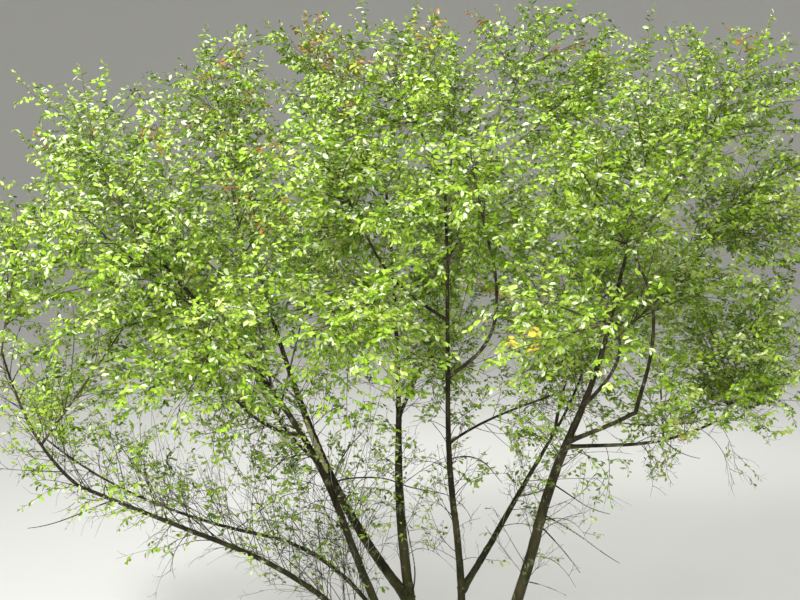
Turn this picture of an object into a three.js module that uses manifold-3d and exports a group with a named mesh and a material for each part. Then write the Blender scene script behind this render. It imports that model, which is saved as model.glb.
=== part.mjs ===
// Alder buckthorn, a whole shrubby tree of several stems from one low stool, in millimetres.
// X runs to the right in the photograph, Y away from the viewer, Z up.
// The origin lies at ground level under the stool.
import * as THREE from "three";
import { mergeVertices } from "three/addons/utils/BufferGeometryUtils.js";
import Module from "manifold-3d";

const wasm = await Module();
wasm.setup();

// The clear gap kept wherever one piece of wood meets another.
const GAP = 0.3;

// The stool: the low woody foot, oval, with a swelling toward each main root.
const STOOL_CENTRE = [-15, -10];
const STOOL_WIDTHS = [560, 490, 440, 300];
const STOOL_DEPTHS = [440, 380, 340, 210];
const STOOL_HEIGHTS = [0, 60, 120, 175];
const STOOL_SIDES = 28;
const ROOT_COUNT = 7;
const ROOT_SWELLING = [0.16, 0.08, 0.03, 0.0];

// Every limb is walked in equal short steps, its heading and rise changing evenly along it.
const LIMB_STEPS = 24;
const STEM_SIDES = 6;
const BOUGH_SIDES = 5;
const THICK_LIMB = 18;
const STEM_RING_EVERY = 2;
const BOUGH_RING_EVERY = 4;
const SIDEWAYS = new THREE.Vector3(0.31, -0.83, 0.46);

// Heading is degrees round from X toward Y and rise is degrees above level, both from foot to tip.
// Radii stand evenly spaced from foot to tip.
const LIMBS = [
  { name: "stem_low_left", start: [-170, -60, 120], length: 3180,
    heading: [-148, -177], rise: [64, 47, 25, 24], radius: [25, 12] },
  { name: "stem_low_rise", on: "stem_low_left", at: 1, length: 1030,
    heading: [176, 160], rise: [40, 63, 74], radius: [12, 7] },
  { name: "stem_low_back", start: [-130, 90, 120], length: 3830,
    heading: [148, 175], rise: [65, 45, 5, 19, 39], radius: [20, 7] },
  { name: "stem_left", start: [-80, -110, 120], length: 4270,
    heading: [-171, -148, -166], rise: [62, 66, 70, 57, 49, 52], radius: [35, 9] },
  { name: "stem_centre_left", start: [-35, 60, 120], length: 3960,
    heading: [168, 88, 112], rise: [64, 78, 76, 70, 73, 76], radius: [44, 40, 33, 18, 13, 10] },
  { name: "bough_left_back", on: "stem_centre_left", at: 0.22, length: 3340,
    heading: [171, 148, 138], rise: [49, 57.5, 64, 67, 70, 74], radius: [36, 33, 28, 18, 12, 8] },
  { name: "stem_centre", start: [50, -60, 120], length: 3950,
    heading: [-163, -125, -113], rise: [98, 89, 79, 89, 89, 82], radius: [38, 29, 23, 17, 12, 9] },
  { name: "bough_right_back", on: "stem_centre", at: 0.25, length: 2370,
    heading: [44, 42, 42], rise: [39, 47, 46, 46, 60, 65], radius: [26, 22, 17, 11, 10, 9] },
  { name: "stem_right", start: [140, 20, 120], length: 3950,
    heading: [-34, -16, 25], rise: [64, 70, 77, 67, 78, 72], radius: [46, 42, 38, 33, 20, 14, 9] },
  { name: "bough_right_out", on: "stem_right", at: 0.57, length: 570,
    heading: [-31, -39], rise: [25, 27, 32], radius: [17, 14] },
  { name: "bough_right_up", on: "bough_right_out", at: 1, length: 1110,
    heading: [-14, -171], rise: [76, 73, 74, 66, 60], radius: [14, 8] },
  { name: "bough_right_low", on: "stem_right", at: 0.56, length: 1270,
    heading: [14, 28], rise: [-1, -3, 8, 18], radius: [15, 8] },
  { name: "bough_front_right", on: "stem_right", at: 0.64, length: 1250,
    heading: [-62, -112], rise: [36, 34, 26], radius: [14, 8] },
  { name: "bough_centre_right", on: "stem_centre", at: 0.65, length: 1350,
    heading: [-34, -124], rise: [33, 37, 51, 60, 61], radius: [14, 8] },
  { name: "bough_centre_low", on: "stem_centre", at: 0.53, length: 1090,
    heading: [44, 29], rise: [20, 13, 10, 12], radius: [10, 7] },
  { name: "bough_centre_left", on: "stem_centre", at: 0.75, length: 1090,
    heading: [-128, -121], rise: [27, 25, 37, 49], radius: [12, 7] },
  { name: "bough_top_left", on: "stem_centre", at: 1, length: 380,
    heading: [-140, -129], rise: [48, 53, 58], radius: [9, 7] },
  { name: "bough_top_right", on: "stem_centre", at: 0.92, length: 640,
    heading: [48, 39], rise: [56, 52, 50], radius: [9, 7] },
  { name: "bough_left_out", on: "stem_left", at: 0.57, length: 1180,
    heading: [-129, -114], rise: [13, 29, 43, 43], radius: [13, 7] },
  { name: "bough_back", on: "stem_centre_left", at: 0.56, length: 1150,
    heading: [72, 48], rise: [30, 42, 52], radius: [15, 8] },
  { name: "bough_back_left", on: "bough_left_back", at: 0.34, length: 1150,
    heading: [136, 120], rise: [18, 30, 38], radius: [14, 8] },
  { name: "bough_back_right", on: "bough_right_back", at: 0.6, length: 1150,
    heading: [80, 62], rise: [22, 32, 40], radius: [14, 8] },
];

// Each foliage mass keeps inside an oval space round its centre, and on its own side of the plane
// that it shares with each neighbour.
const MASSES = [
  { name: "leaves_far_left_top", on: "stem_left", at: 1,
    centre: [-2280, -560, 4210], half: [560, 540, 520] },
  { name: "leaves_far_left_tip", on: "stem_low_rise", at: 1,
    centre: [-2700, -600, 3640], half: [430, 520, 480] },
  { name: "leaves_left_front", on: "stem_left", at: 0.8,
    centre: [-2030, -1200, 3600], half: [600, 600, 560] },
  { name: "leaves_left_out", on: "bough_left_out", at: 1,
    centre: [-1480, -1480, 3100], half: [650, 600, 460] },
  { name: "leaves_left_top", on: "bough_left_back", at: 1,
    centre: [-1660, 560, 4440], half: [580, 580, 540] },
  { name: "leaves_left_back", on: "bough_left_back", at: 0.7,
    centre: [-2330, 760, 3830], half: [690, 650, 600] },
  { name: "leaves_left_middle", on: "bough_left_back", at: 0.5,
    centre: [-1820, 130, 3180], half: [600, 560, 480] },
  { name: "leaves_left_rear", on: "bough_back_left", at: 1,
    centre: [-1900, 1600, 2950], half: [690, 650, 540] },
  { name: "leaves_low_left", on: "stem_low_back", at: 1,
    centre: [-3020, 950, 2380], half: [480, 540, 340] },
  { name: "leaves_left_inner", on: "stem_left", at: 0.66,
    centre: [-1450, -330, 3800], half: [560, 560, 540] },
  { name: "leaves_tall_left", on: "stem_centre_left", at: 1,
    centre: [-910, 640, 4540], half: [580, 600, 650] },
  { name: "leaves_centre_left", on: "bough_centre_left", at: 1,
    centre: [-690, -1100, 3980], half: [600, 600, 540] },
  { name: "leaves_centre_rear", on: "stem_centre_left", at: 0.76,
    centre: [-780, 1000, 3190], half: [630, 600, 540] },
  { name: "leaves_top_left", on: "bough_top_left", at: 1,
    centre: [-380, -450, 4620], half: [500, 520, 480] },
  { name: "leaves_top_right", on: "bough_top_right", at: 1,
    centre: [520, 200, 4850], half: [480, 520, 450] },
  { name: "leaves_centre_inner", on: "stem_centre", at: 0.83,
    centre: [40, 250, 3770], half: [520, 560, 500] },
  { name: "leaves_centre_front", on: "bough_centre_right", at: 1,
    centre: [130, -1250, 3920], half: [630, 600, 560] },
  { name: "leaves_low_front", on: "bough_centre_left", at: 0.6,
    centre: [-740, -1450, 3190], half: [600, 600, 430] },
  { name: "leaves_back", on: "bough_back", at: 1,
    centre: [-100, 1650, 3530], half: [710, 650, 650] },
  { name: "leaves_right_back", on: "bough_right_back", at: 1,
    centre: [1175, 1145, 3640], half: [650, 650, 600] },
  { name: "leaves_right_top", on: "stem_right", at: 1,
    centre: [1290, -250, 4370], half: [560, 600, 540] },
  { name: "leaves_right_front", on: "bough_right_up", at: 1,
    centre: [820, -1050, 3970], half: [560, 580, 560] },
  { name: "leaves_front_right", on: "bough_front_right", at: 1,
    centre: [570, -1700, 3300], half: [600, 600, 480] },
  { name: "leaves_right_out", on: "bough_right_low", at: 1,
    centre: [2120, 200, 2800], half: [600, 650, 540] },
  { name: "leaves_right_low", on: "bough_right_low", at: 0.6,
    centre: [1400, -450, 2670], half: [520, 560, 390] },
  { name: "leaves_right_inner", on: "bough_centre_low", at: 1,
    centre: [930, 650, 2920], half: [560, 580, 510] },
  { name: "leaves_right_rear", on: "bough_back_right", at: 1,
    centre: [1650, 1840, 2960], half: [650, 600, 560] },
  { name: "leaves_far_right", on: "stem_right", at: 0.82,
    centre: [2060, 120, 3860], half: [590, 650, 590] },
  { name: "leaves_far_right_top", on: "stem_right", at: 0.9,
    centre: [1960, 100, 4600], half: [520, 540, 480] },
  { name: "leaves_top_middle", on: "stem_centre", at: 0.88,
    centre: [40, 350, 4590], half: [430, 490, 430] },
  { name: "leaves_top_back", on: "bough_top_right", at: 0.6,
    centre: [940, 650, 4590], half: [500, 540, 480] },
  { name: "leaves_right_shoulder", on: "bough_right_back", at: 0.86,
    centre: [1790, 1000, 4150], half: [560, 560, 540] },
  { name: "leaves_left_low", on: "stem_low_rise", at: 0.35,
    centre: [-2260, -480, 2950], half: [480, 560, 420] },
  { name: "leaves_centre_low", on: "bough_back", at: 0.5,
    centre: [40, 520, 2800], half: [520, 520, 430] },
  { name: "leaves_rear_left", on: "bough_back_left", at: 0.6,
    centre: [-1000, 1750, 3450], half: [520, 520, 520] },
  { name: "leaves_rear_right", on: "bough_back_right", at: 0.7,
    centre: [660, 1770, 3300], half: [520, 520, 520] },
  { name: "leaves_right_middle", on: "stem_right", at: 0.74,
    centre: [1650, -100, 3400], half: [480, 500, 480] },
];

// How the twigs of a mass grow: they leave its stem at about this angle and run out to ends
// spread evenly through its space.
const TWIGS_PER_MASS = 5;
const SMALL_MASS = 555;
const MOST_TRIES = 60;
const TWIG_ANGLE = 50;
const TWIG_STEPS = 2;
const TWIG_BOW = 0.12;
const TWIG_REACH = 0.96;
const OUTWARD_PULL = 0.3;
const STEM_STATIONS = 24;
const FIRST_STATION = 3;
const MASS_STEM_STEPS = 4;
const MASS_STEM_SIDES = 4;
const STEM_SUNK = 2;
const STEM_BEND = 0.4;
const STEM_TIP_REACH = 0.8;
const STEM_LIFT = 0.3;
const STEM_SHARE = 0.85;
const STEM_TIP_RADIUS = 5.5;
const THICKEST_STEM = 9;
const TWIG_RADIUS = [3.8, 3.5];
const TWIG_CLEARANCE = 14;
const TWIG_CHECKS = 20;
const SHORTEST_TWIG = 180;

// A spray of leaves is one broad pointed blade.
// One ends each twig and the others stand along it, turn about.
const SPRAY_PLACES = [0.32, 0.58, 0.8];
const LONG_TWIG = 390;
const SPRAY_ANGLE = 52;
const SPRAY_LENGTH = 340;
const SPRAY_WIDTH = 210;
const SPRAY_BROADEST = 0.48;
const SPRAY_SHORTER = [1, 0.78, 0.6];
const SPRAY_THICKEST = 0.34;
const SPRAY_THICKNESS = 7;
const SPRAY_SUNK = 1.5;
const SPRAY_ROOT = 60;
const SPRAY_CLEARANCE = 32;
const SPRAY_CHECKS = [0.3, 0.6];
const SPACE_MARGIN = 4;
const NEIGHBOUR_REACH = 300;
const OBSTACLE_REACH = 1.3;
const FOLIAGE_TIDY = 0.03;
const LAST_TIDY = 0.02;

// How far round the twig sprays stray from its two sides, and how far they roll about their
// own line, in degrees.
const SPRAY_SPREAD = 110;
const SPRAY_ROLL = 150;
const UP = new THREE.Vector3(0, 0, 1);

// Where the two lower corners of a three-sided twig lie, as shares of its radius.
const CORNER_DROP = 0.5;
const CORNER_SPREAD = 0.87;

// Steps that spread points evenly in three ways, and the seed of every chance.
const GOLDEN_STEPS = [0.8191725134, 0.6710436067, 0.5497004779];
const SEED = 7321;

const BARK = new THREE.MeshStandardMaterial({ name: "bark", color: 0x6f6454, roughness: 0.9 });
const FOLIAGE = new THREE.MeshStandardMaterial({ name: "foliage", color: 0x6f9a35, roughness: 0.6 });

// An even number from 0 to 1 that depends only on its keys.
function chance(...keys) {
  let mixed = SEED;
  for (const key of keys) {
    mixed = Math.imul(mixed ^ (key + 1013), 2654435761) >>> 0;
    mixed = (mixed ^ (mixed >>> 15)) >>> 0;
    mixed = Math.imul(mixed, 2246822519) >>> 0;
    mixed = (mixed ^ (mixed >>> 13)) >>> 0;
  }
  return mixed / 4294967296;
}

function vector(numbers) {
  return new THREE.Vector3(numbers[0], numbers[1], numbers[2]);
}

function blend(values, share) {
  const place = Math.min(Math.max(share, 0), 1) * (values.length - 1);
  const low = Math.min(Math.floor(place), values.length - 2);
  return values[low] + (values[low + 1] - values[low]) * (place - low);
}

function pointAlong(path, share) {
  const place = Math.min(Math.max(share, 0), 1) * (path.length - 1);
  const low = Math.min(Math.floor(place), path.length - 2);
  return path[low].clone().lerp(path[low + 1], place - low);
}

function directionAlong(path, share) {
  const step = 0.5 / (path.length - 1);
  return pointAlong(path, share + step).sub(pointAlong(path, share - step)).normalize();
}

function bent(start, middle, end, steps) {
  const points = [];
  for (let k = 0; k <= steps; k += 1) {
    const t = k / steps;
    const near = start.clone().lerp(middle, t);
    points.push(near.lerp(middle.clone().lerp(end, t), t));
  }
  return points;
}

// One closed shape from its corner points and triangles.
function solid(points, triangles) {
  const shape = new THREE.BufferGeometry();
  const numbers = new Float32Array(points.flatMap((point) => [point.x, point.y, point.z]));
  shape.setAttribute("position", new THREE.BufferAttribute(numbers, 3));
  shape.setIndex(triangles);
  const whole = mergeVertices(shape, 1e-4);
  return new wasm.Manifold(new wasm.Mesh({
    numProp: 3,
    vertProperties: Float32Array.from(whole.attributes.position.array),
    triVerts: Uint32Array.from(whole.index.array),
  }));
}

// Joins rings of corners, listed foot first, into a closed tube that ends flat or runs out to a point.
function skin(rings, tip = null) {
  const sides = rings[0].length;
  const triangles = [];
  for (let r = 0; r + 1 < rings.length; r += 1) {
    for (let k = 0; k < sides; k += 1) {
      const a = r * sides + k;
      const b = r * sides + ((k + 1) % sides);
      triangles.push(a, b, b + sides, a, b + sides, a + sides);
    }
  }
  const last = (rings.length - 1) * sides;
  for (let k = 1; k + 1 < sides; k += 1) {
    triangles.push(0, k + 1, k);
    if (!tip) triangles.push(last, last + k, last + k + 1);
  }
  if (!tip) return solid(rings.flat(), triangles);
  for (let k = 0; k < sides; k += 1) {
    triangles.push(last + k, last + ((k + 1) % sides), last + sides);
  }
  return solid([...rings.flat(), tip], triangles);
}

// A round tapering tube along a path, grown outward by a little when it is to cut its neighbour.
function tube(path, radii, sides, grow = 0) {
  const outset = grow / Math.cos(Math.PI / sides);
  const rings = [];
  let across = SIDEWAYS;
  for (let k = 0; k < path.length; k += 1) {
    const share = k / (path.length - 1);
    const forward = directionAlong(path, share);
    across = across.clone().addScaledVector(forward, -across.dot(forward)).normalize();
    const other = forward.clone().cross(across);
    const middle = path[k].clone();
    if (k === 0) middle.addScaledVector(forward, -grow);
    if (k === path.length - 1) middle.addScaledVector(forward, grow);
    const radius = blend(radii, share) + outset;
    rings.push(Array.from({ length: sides }, (_, side) => {
      const turn = (2 * Math.PI * side) / sides;
      return middle.clone()
        .addScaledVector(across, radius * Math.cos(turn))
        .addScaledVector(other, radius * Math.sin(turn));
    }));
  }
  return skin(rings);
}

// Tidies a cut or joined shape: hollows sealed inside are filled and loose scraps dropped.
function largest(shape) {
  const pieces = shape.simplify(LAST_TIDY).decompose().filter((piece) => piece.volume() > 0);
  pieces.sort((a, b) => b.volume() - a.volume());
  return pieces[0];
}

function meshOf(name, shape, material) {
  const data = shape.getMesh();
  const places = Float32Array.from(data.vertProperties);
  const geometry = new THREE.BufferGeometry();
  geometry.setAttribute("position", new THREE.BufferAttribute(places, 3));
  geometry.setIndex(Array.from(data.triVerts));
  geometry.computeVertexNormals();
  const mesh = new THREE.Mesh(geometry, material.clone());
  mesh.name = name;
  return mesh;
}

function stool(grow = 0) {
  const rings = STOOL_HEIGHTS.map((height, level) => {
    const raised = height + (height > 0 ? grow : 0);
    return Array.from({ length: STOOL_SIDES }, (_, side) => {
      const turn = (2 * Math.PI * side) / STOOL_SIDES;
      const swelling = 1 + ROOT_SWELLING[level] * Math.cos(ROOT_COUNT * turn);
      return new THREE.Vector3(
        STOOL_CENTRE[0] + (STOOL_WIDTHS[level] / 2 + grow) * swelling * Math.cos(turn),
        STOOL_CENTRE[1] + (STOOL_DEPTHS[level] / 2 + grow) * swelling * Math.sin(turn),
        raised,
      );
    });
  });
  return skin(rings);
}

function limbPath(limb, limbs) {
  const parent = limbs[limb.on];
  const start = parent ? pointAlong(parent.path, limb.at) : vector(limb.start);
  const path = [start];
  for (let k = 0; k < LIMB_STEPS; k += 1) {
    const share = (k + 0.5) / LIMB_STEPS;
    const heading = THREE.MathUtils.degToRad(blend(limb.heading, share));
    const rise = THREE.MathUtils.degToRad(blend(limb.rise, share));
    const step = new THREE.Vector3(
      Math.cos(rise) * Math.cos(heading),
      Math.cos(rise) * Math.sin(heading),
      Math.sin(rise),
    );
    path.push(path[k].clone().addScaledVector(step, limb.length / LIMB_STEPS));
  }
  return path;
}

// The thick stems carry a ring at every second point of the walk, the boughs at every fourth.
function limbTube(limb, grow = 0) {
  const thick = limb.radius[0] > THICK_LIMB;
  const every = thick ? STEM_RING_EVERY : BOUGH_RING_EVERY;
  const points = limb.path.filter((_, k) => k % every === 0);
  return tube(points, limb.radius, thick ? STEM_SIDES : BOUGH_SIDES, grow);
}

function growLimbs() {
  const limbs = {};
  for (const row of LIMBS) {
    const limb = { ...row };
    limb.path = limbPath(limb, limbs);
    limbs[limb.name] = limb;
  }
  return limbs;
}

// A limb is cut back to the surface of the wood it springs from.
function limbSolid(limb, limbs) {
  const parent = limbs[limb.on];
  const cutter = parent ? limbTube(parent, GAP) : stool(GAP);
  return largest(limbTube(limb).subtract(cutter));
}

// The stem of a mass leaves its limb, passes the middle of the mass and reaches toward the far side.
function massStem(mass, limbs) {
  const limb = limbs[mass.on];
  const atTip = mass.at === 1;
  const centre = vector(mass.centre);
  const forward = directionAlong(limb.path, mass.at);
  const start = pointAlong(limb.path, mass.at);
  if (atTip) start.addScaledVector(forward, -STEM_SUNK);
  const away = centre.clone().sub(start);
  const ahead = start.clone().addScaledVector(forward, away.length());
  const middle = atTip ? centre.clone().lerp(ahead, STEM_BEND) : centre.clone();
  const onward = away.clone().normalize();
  onward.z += STEM_LIFT;
  onward.normalize();
  const reach = onward.multiply(vector(mass.half)).multiplyScalar(STEM_TIP_REACH);
  const end = centre.clone().add(reach);
  return bent(start, middle, end, MASS_STEM_STEPS);
}

// How far inside its own space a point lies: the oval, then the plane shared with each neighbour.
function insideSpace(mass, point, keep) {
  const from = point.clone().sub(mass.middle);
  const oval = Math.hypot(
    from.x / (mass.half[0] - keep),
    from.y / (mass.half[1] - keep),
    from.z / (mass.half[2] - keep),
  );
  if (oval >= 1) return false;
  const own = from.lengthSq() - mass.size * mass.size;
  return mass.rivals.every((rival) => {
    const other = point.distanceToSquared(rival.middle) - rival.size * rival.size;
    return (other - own) / (2 * rival.middle.distanceTo(mass.middle)) > keep;
  });
}

// True when no point comes nearer than the clearance to the skin of a limb or another mass's stem.
function clearOf(segments, points, clearance) {
  const line = new THREE.Line3();
  const nearest = new THREE.Vector3();
  return segments.every((segment) => points.every((point) => {
    line.set(segment.from, segment.to);
    line.closestPointToPoint(point, true, nearest);
    return nearest.distanceTo(point) > segment.radius + clearance;
  }));
}

function segmentsOf(path, radii) {
  return path.slice(1).map((to, k) => {
    const radius = blend(radii, k / (path.length - 1));
    return { from: path[k], to, radius };
  });
}

// The k-th wished-for twig end of a mass, spread evenly through its space and toward its outside.
function twigEnd(mass, k) {
  const spread = GOLDEN_STEPS.map((step, way) => (chance(mass.index, way) + step * k) % 1);
  const turn = 2 * Math.PI * spread[0];
  const up = 1 - 2 * spread[1];
  const out = TWIG_REACH * Math.pow(spread[2], OUTWARD_PULL);
  const flat = Math.sqrt(1 - up * up);
  const way = new THREE.Vector3(flat * Math.cos(turn), flat * Math.sin(turn), up);
  return mass.middle.clone().add(way.multiply(vector(mass.half)).multiplyScalar(out));
}

// The twig leaves the stem where the line to its end makes the natural angle with the stem.
function twigPath(mass, end) {
  let best = null;
  for (let k = FIRST_STATION; k < STEM_STATIONS; k += 1) {
    const share = k / STEM_STATIONS;
    const root = pointAlong(mass.path, share);
    const forward = directionAlong(mass.path, share);
    const angle = THREE.MathUtils.radToDeg(forward.angleTo(end.clone().sub(root)));
    const miss = Math.abs(angle - TWIG_ANGLE);
    if (!best || miss < best.miss) best = { miss, root, forward };
  }
  const length = best.root.distanceTo(end);
  const middle = best.root.clone().lerp(end, 0.5);
  middle.addScaledVector(best.forward, length * TWIG_BOW);
  return { path: bent(best.root, middle, end, TWIG_STEPS), length };
}

// One spray: where it springs from the twig, which way it points and how it lies.
function sprayAt(mass, twig, twigNumber, place, order) {
  const ends = place === 1;
  const forward = directionAlong(twig.path, place);
  const level = forward.clone().cross(UP).normalize();
  const angle = THREE.MathUtils.degToRad(ends ? 0 : SPRAY_ANGLE);
  const half = Math.PI * ((order + twigNumber) % 2);
  const stray = chance(mass.index, twigNumber, order, 5) - 0.5;
  const round = half + THREE.MathUtils.degToRad(SPRAY_SPREAD * stray);
  const outward = level.applyAxisAngle(forward, round);
  const way = forward.clone().multiplyScalar(Math.cos(angle));
  way.addScaledVector(outward, Math.sin(angle));
  const lean = SPRAY_ROLL * (chance(mass.index, twigNumber, order, 6) - 0.5);
  const across = way.clone().cross(UP).normalize();
  across.applyAxisAngle(way, THREE.MathUtils.degToRad(lean));
  const face = across.clone().cross(way).normalize();
  return { root: pointAlong(twig.path, place), way, across, face };
}

// The corners of a spray: its tip, its two broad corners and the ridge between them.
function sprayCorners(spray, scale) {
  const half = (SPRAY_WIDTH * scale) / 2;
  const broad = spray.root.clone().addScaledVector(spray.way, SPRAY_LENGTH * scale * SPRAY_BROADEST);
  return {
    tip: spray.root.clone().addScaledVector(spray.way, SPRAY_LENGTH * scale),
    ridge: spray.root.clone()
      .addScaledVector(spray.way, SPRAY_LENGTH * scale * SPRAY_THICKEST)
      .addScaledVector(spray.face, SPRAY_THICKNESS),
    left: broad.clone().addScaledVector(spray.across, -half),
    right: broad.clone().addScaledVector(spray.across, half),
  };
}

// Three corners round a point of a twig, the first one uppermost.
function threeSided(middle, forward, radius) {
  const across = forward.clone().cross(UP).normalize();
  const face = across.clone().cross(forward);
  const low = middle.clone().addScaledVector(face, -radius * CORNER_DROP);
  return [
    middle.clone().addScaledVector(face, radius),
    low.clone().addScaledVector(across, radius * CORNER_SPREAD),
    low.clone().addScaledVector(across, -radius * CORNER_SPREAD),
  ];
}

// A three-sided twig that runs out into the blade of its last spray, or ends flat without one.
function twigSolid(path, radii, corners) {
  const rings = path.map((point, k) => {
    const share = k / (path.length - 1);
    return threeSided(point, directionAlong(path, share), blend(radii, share));
  });
  if (!corners) return skin(rings);
  return skin([...rings, [corners.ridge, corners.right, corners.left]], corners.tip);
}

// A side spray narrows to a point sunk in its twig. It is flat below and ridged above.
function sideSpraySolid(spray, corners) {
  const foot = spray.root.clone().addScaledVector(spray.way, -SPRAY_SUNK);
  const points = [foot, corners.ridge, corners.right, corners.left, corners.tip];
  return solid(points, [0, 2, 1, 0, 1, 3, 4, 1, 2, 4, 3, 1, 0, 3, 2, 4, 2, 3]);
}

function sprayFits(mass, spray, corners) {
  const edge = [corners.tip, corners.left, corners.right];
  if (!edge.every((point) => insideSpace(mass, point, SPACE_MARGIN))) return false;
  const along = SPRAY_CHECKS.map((share) => spray.root.clone().lerp(corners.tip, share));
  const broad = [corners.left, corners.right];
  const between = broad.map((point) => point.clone().lerp(corners.tip, 0.5));
  return clearOf(mass.obstacles, [...edge, ...along, ...between], SPRAY_CLEARANCE);
}

// The corners of the largest size of a spray that fits, tried against what already stands there.
function largestSpray(mass, twig, twigNumber, place, order, isFree) {
  const spray = sprayAt(mass, twig, twigNumber, place, order);
  for (const scale of SPRAY_SHORTER) {
    const corners = sprayCorners(spray, scale);
    if (!sprayFits(mass, spray, corners)) continue;
    const ends = place === 1;
    const shape = ends ? twigSolid(twig.path, TWIG_RADIUS, corners) : sideSpraySolid(spray, corners);
    if (isFree(shape)) return shape;
  }
  return null;
}

function twigFits(mass, twig) {
  const keep = TWIG_RADIUS[0] + SPACE_MARGIN;
  const shares = Array.from({ length: TWIG_CHECKS }, (_, k) => (k + 1) / TWIG_CHECKS);
  const checks = shares.map((share) => pointAlong(twig.path, share));
  if (!checks.every((point) => insideSpace(mass, point, keep))) return false;
  return clearOf(mass.obstacles, checks, TWIG_RADIUS[0] + TWIG_CLEARANCE);
}

// The twigs and sprays of a mass. One is left out where it would leave the space of the mass,
// or cross a limb or another spray.
function growMass(mass) {
  const grown = [];
  const missesAll = (shape) => grown.every((other) => shape.intersect(other).isEmpty());
  const wanted = mass.size < SMALL_MASS ? TWIGS_PER_MASS - 1 : TWIGS_PER_MASS;
  let twigCount = 0;
  for (let k = 0; k < MOST_TRIES && twigCount < wanted; k += 1) {
    const twig = twigPath(mass, twigEnd(mass, k));
    if (twig.length < SHORTEST_TWIG || !twigFits(mass, twig)) continue;
    const shape = largestSpray(mass, twig, k, 1, SPRAY_PLACES.length, missesAll);
    if (!shape) continue;
    const own = [shape];
    const places = twig.length > LONG_TWIG ? SPRAY_PLACES : SPRAY_PLACES.slice(0, 2);
    places.forEach((place, order) => {
      const rootOnly = (spray) => missesAll(spray) && spray.intersect(shape).volume() < SPRAY_ROOT;
      const side = largestSpray(mass, twig, k, place, order, rootOnly);
      if (side) own.push(side);
    });
    grown.push(...own);
    twigCount += 1;
  }
  return grown;
}

function massSolid(mass, limbs) {
  const limb = limbs[mass.on];
  const foot = Math.min(blend(limb.radius, mass.at) * STEM_SHARE, THICKEST_STEM);
  const stem = tube(mass.path, [foot, STEM_TIP_RADIUS], MASS_STEM_SIDES);
  const whole = wasm.Manifold.union([stem, ...growMass(mass)]).simplify(FOLIAGE_TIDY);
  return largest(whole.subtract(limbTube(limb, GAP)));
}

function placeMasses(limbs) {
  const masses = MASSES.map((row, index) => {
    const middle = vector(row.centre);
    const size = (row.half[0] + row.half[1] + row.half[2]) / 3;
    return { ...row, index, middle, size, path: massStem(row, limbs) };
  });
  const wood = Object.values(limbs).flatMap((limb) => segmentsOf(limb.path, limb.radius));
  for (const mass of masses) {
    const others = masses.filter((other) => other !== mass);
    mass.rivals = others.filter((other) => {
      const near = other.size + mass.size + NEIGHBOUR_REACH;
      return other.middle.distanceTo(mass.middle) < near;
    });
    const stems = others.flatMap((other) => segmentsOf(other.path, [THICKEST_STEM, STEM_TIP_RADIUS]));
    mass.obstacles = [...wood, ...stems].filter((segment) => {
      const reach = mass.size * OBSTACLE_REACH + segment.from.distanceTo(segment.to);
      return segment.from.distanceTo(mass.middle) < reach;
    });
  }
  return masses;
}

const limbs = growLimbs();
const tree = new THREE.Group();
tree.name = "alder_buckthorn";
tree.add(meshOf("root_stool", stool(), BARK));
for (const limb of Object.values(limbs)) {
  tree.add(meshOf(limb.name, limbSolid(limb, limbs), BARK));
}
for (const mass of placeMasses(limbs)) {
  tree.add(meshOf(mass.name, massSolid(mass, limbs), FOLIAGE));
}

export default tree;
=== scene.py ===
import math

import bpy
import numpy as np
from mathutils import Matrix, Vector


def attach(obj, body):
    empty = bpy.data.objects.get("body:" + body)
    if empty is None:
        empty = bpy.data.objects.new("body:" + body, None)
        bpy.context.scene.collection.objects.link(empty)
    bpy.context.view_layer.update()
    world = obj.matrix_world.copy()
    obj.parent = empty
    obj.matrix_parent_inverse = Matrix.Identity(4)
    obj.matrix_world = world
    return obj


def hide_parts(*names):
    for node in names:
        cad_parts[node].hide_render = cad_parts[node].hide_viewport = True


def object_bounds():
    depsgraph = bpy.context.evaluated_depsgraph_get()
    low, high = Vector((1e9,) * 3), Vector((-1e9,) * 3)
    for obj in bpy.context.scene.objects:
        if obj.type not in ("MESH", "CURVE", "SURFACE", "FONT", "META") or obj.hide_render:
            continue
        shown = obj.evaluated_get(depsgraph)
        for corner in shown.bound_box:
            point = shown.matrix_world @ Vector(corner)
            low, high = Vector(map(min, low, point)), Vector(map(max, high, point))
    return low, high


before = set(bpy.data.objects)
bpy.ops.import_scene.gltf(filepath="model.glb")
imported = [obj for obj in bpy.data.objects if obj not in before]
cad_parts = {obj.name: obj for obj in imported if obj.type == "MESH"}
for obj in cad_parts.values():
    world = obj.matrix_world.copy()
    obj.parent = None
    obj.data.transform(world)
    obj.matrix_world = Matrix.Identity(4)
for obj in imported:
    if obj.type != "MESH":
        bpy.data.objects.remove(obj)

# Alder buckthorn, a whole shrubby tree of several stems from one low stool.
# X runs to the right in the photograph, Y away from the viewer, Z up.
CAD_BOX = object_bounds()

# The stool is the low woody foot that every stem springs from. It is old living wood, swelled over its
# root heads, in rough dark bark with moss on its shoulders, and it is cut flat at ground level.
# Lengths are in millimetres, here and below, and become metres when a mesh is made.
MM = 0.001
SEED = 7321
STOOL_CENTRE = np.array([-15.0, -10.0])
STOOL_WIDTHS = [560, 490, 440, 300]
STOOL_DEPTHS = [440, 380, 340, 210]
STOOL_HEIGHTS = [0, 60, 120, 175]
STOOL_ROUND = 96
STOOL_LEVELS = 26
# The top rounds over in a few rings to a small flat middle, a share of its width.
TOP_RINGS = 8
TOP_RISE = 16
TOP_MIDDLE = 0.02
ROOT_HEADS = 7
ROOT_SWELLING = [0.16, 0.08, 0.03, 0.0]
# The lumps stand out by a share of the radius and are full above a low edge.
STOOL_LUMPS = 0.05
STOOL_EDGE = 40
STOOL_LUMP_SHORTNESS = 2.2
BARK_WAVES = 9
WAVE_LENGTHS = (45, 420)
MOST_WAVES_ROUND = 5
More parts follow.
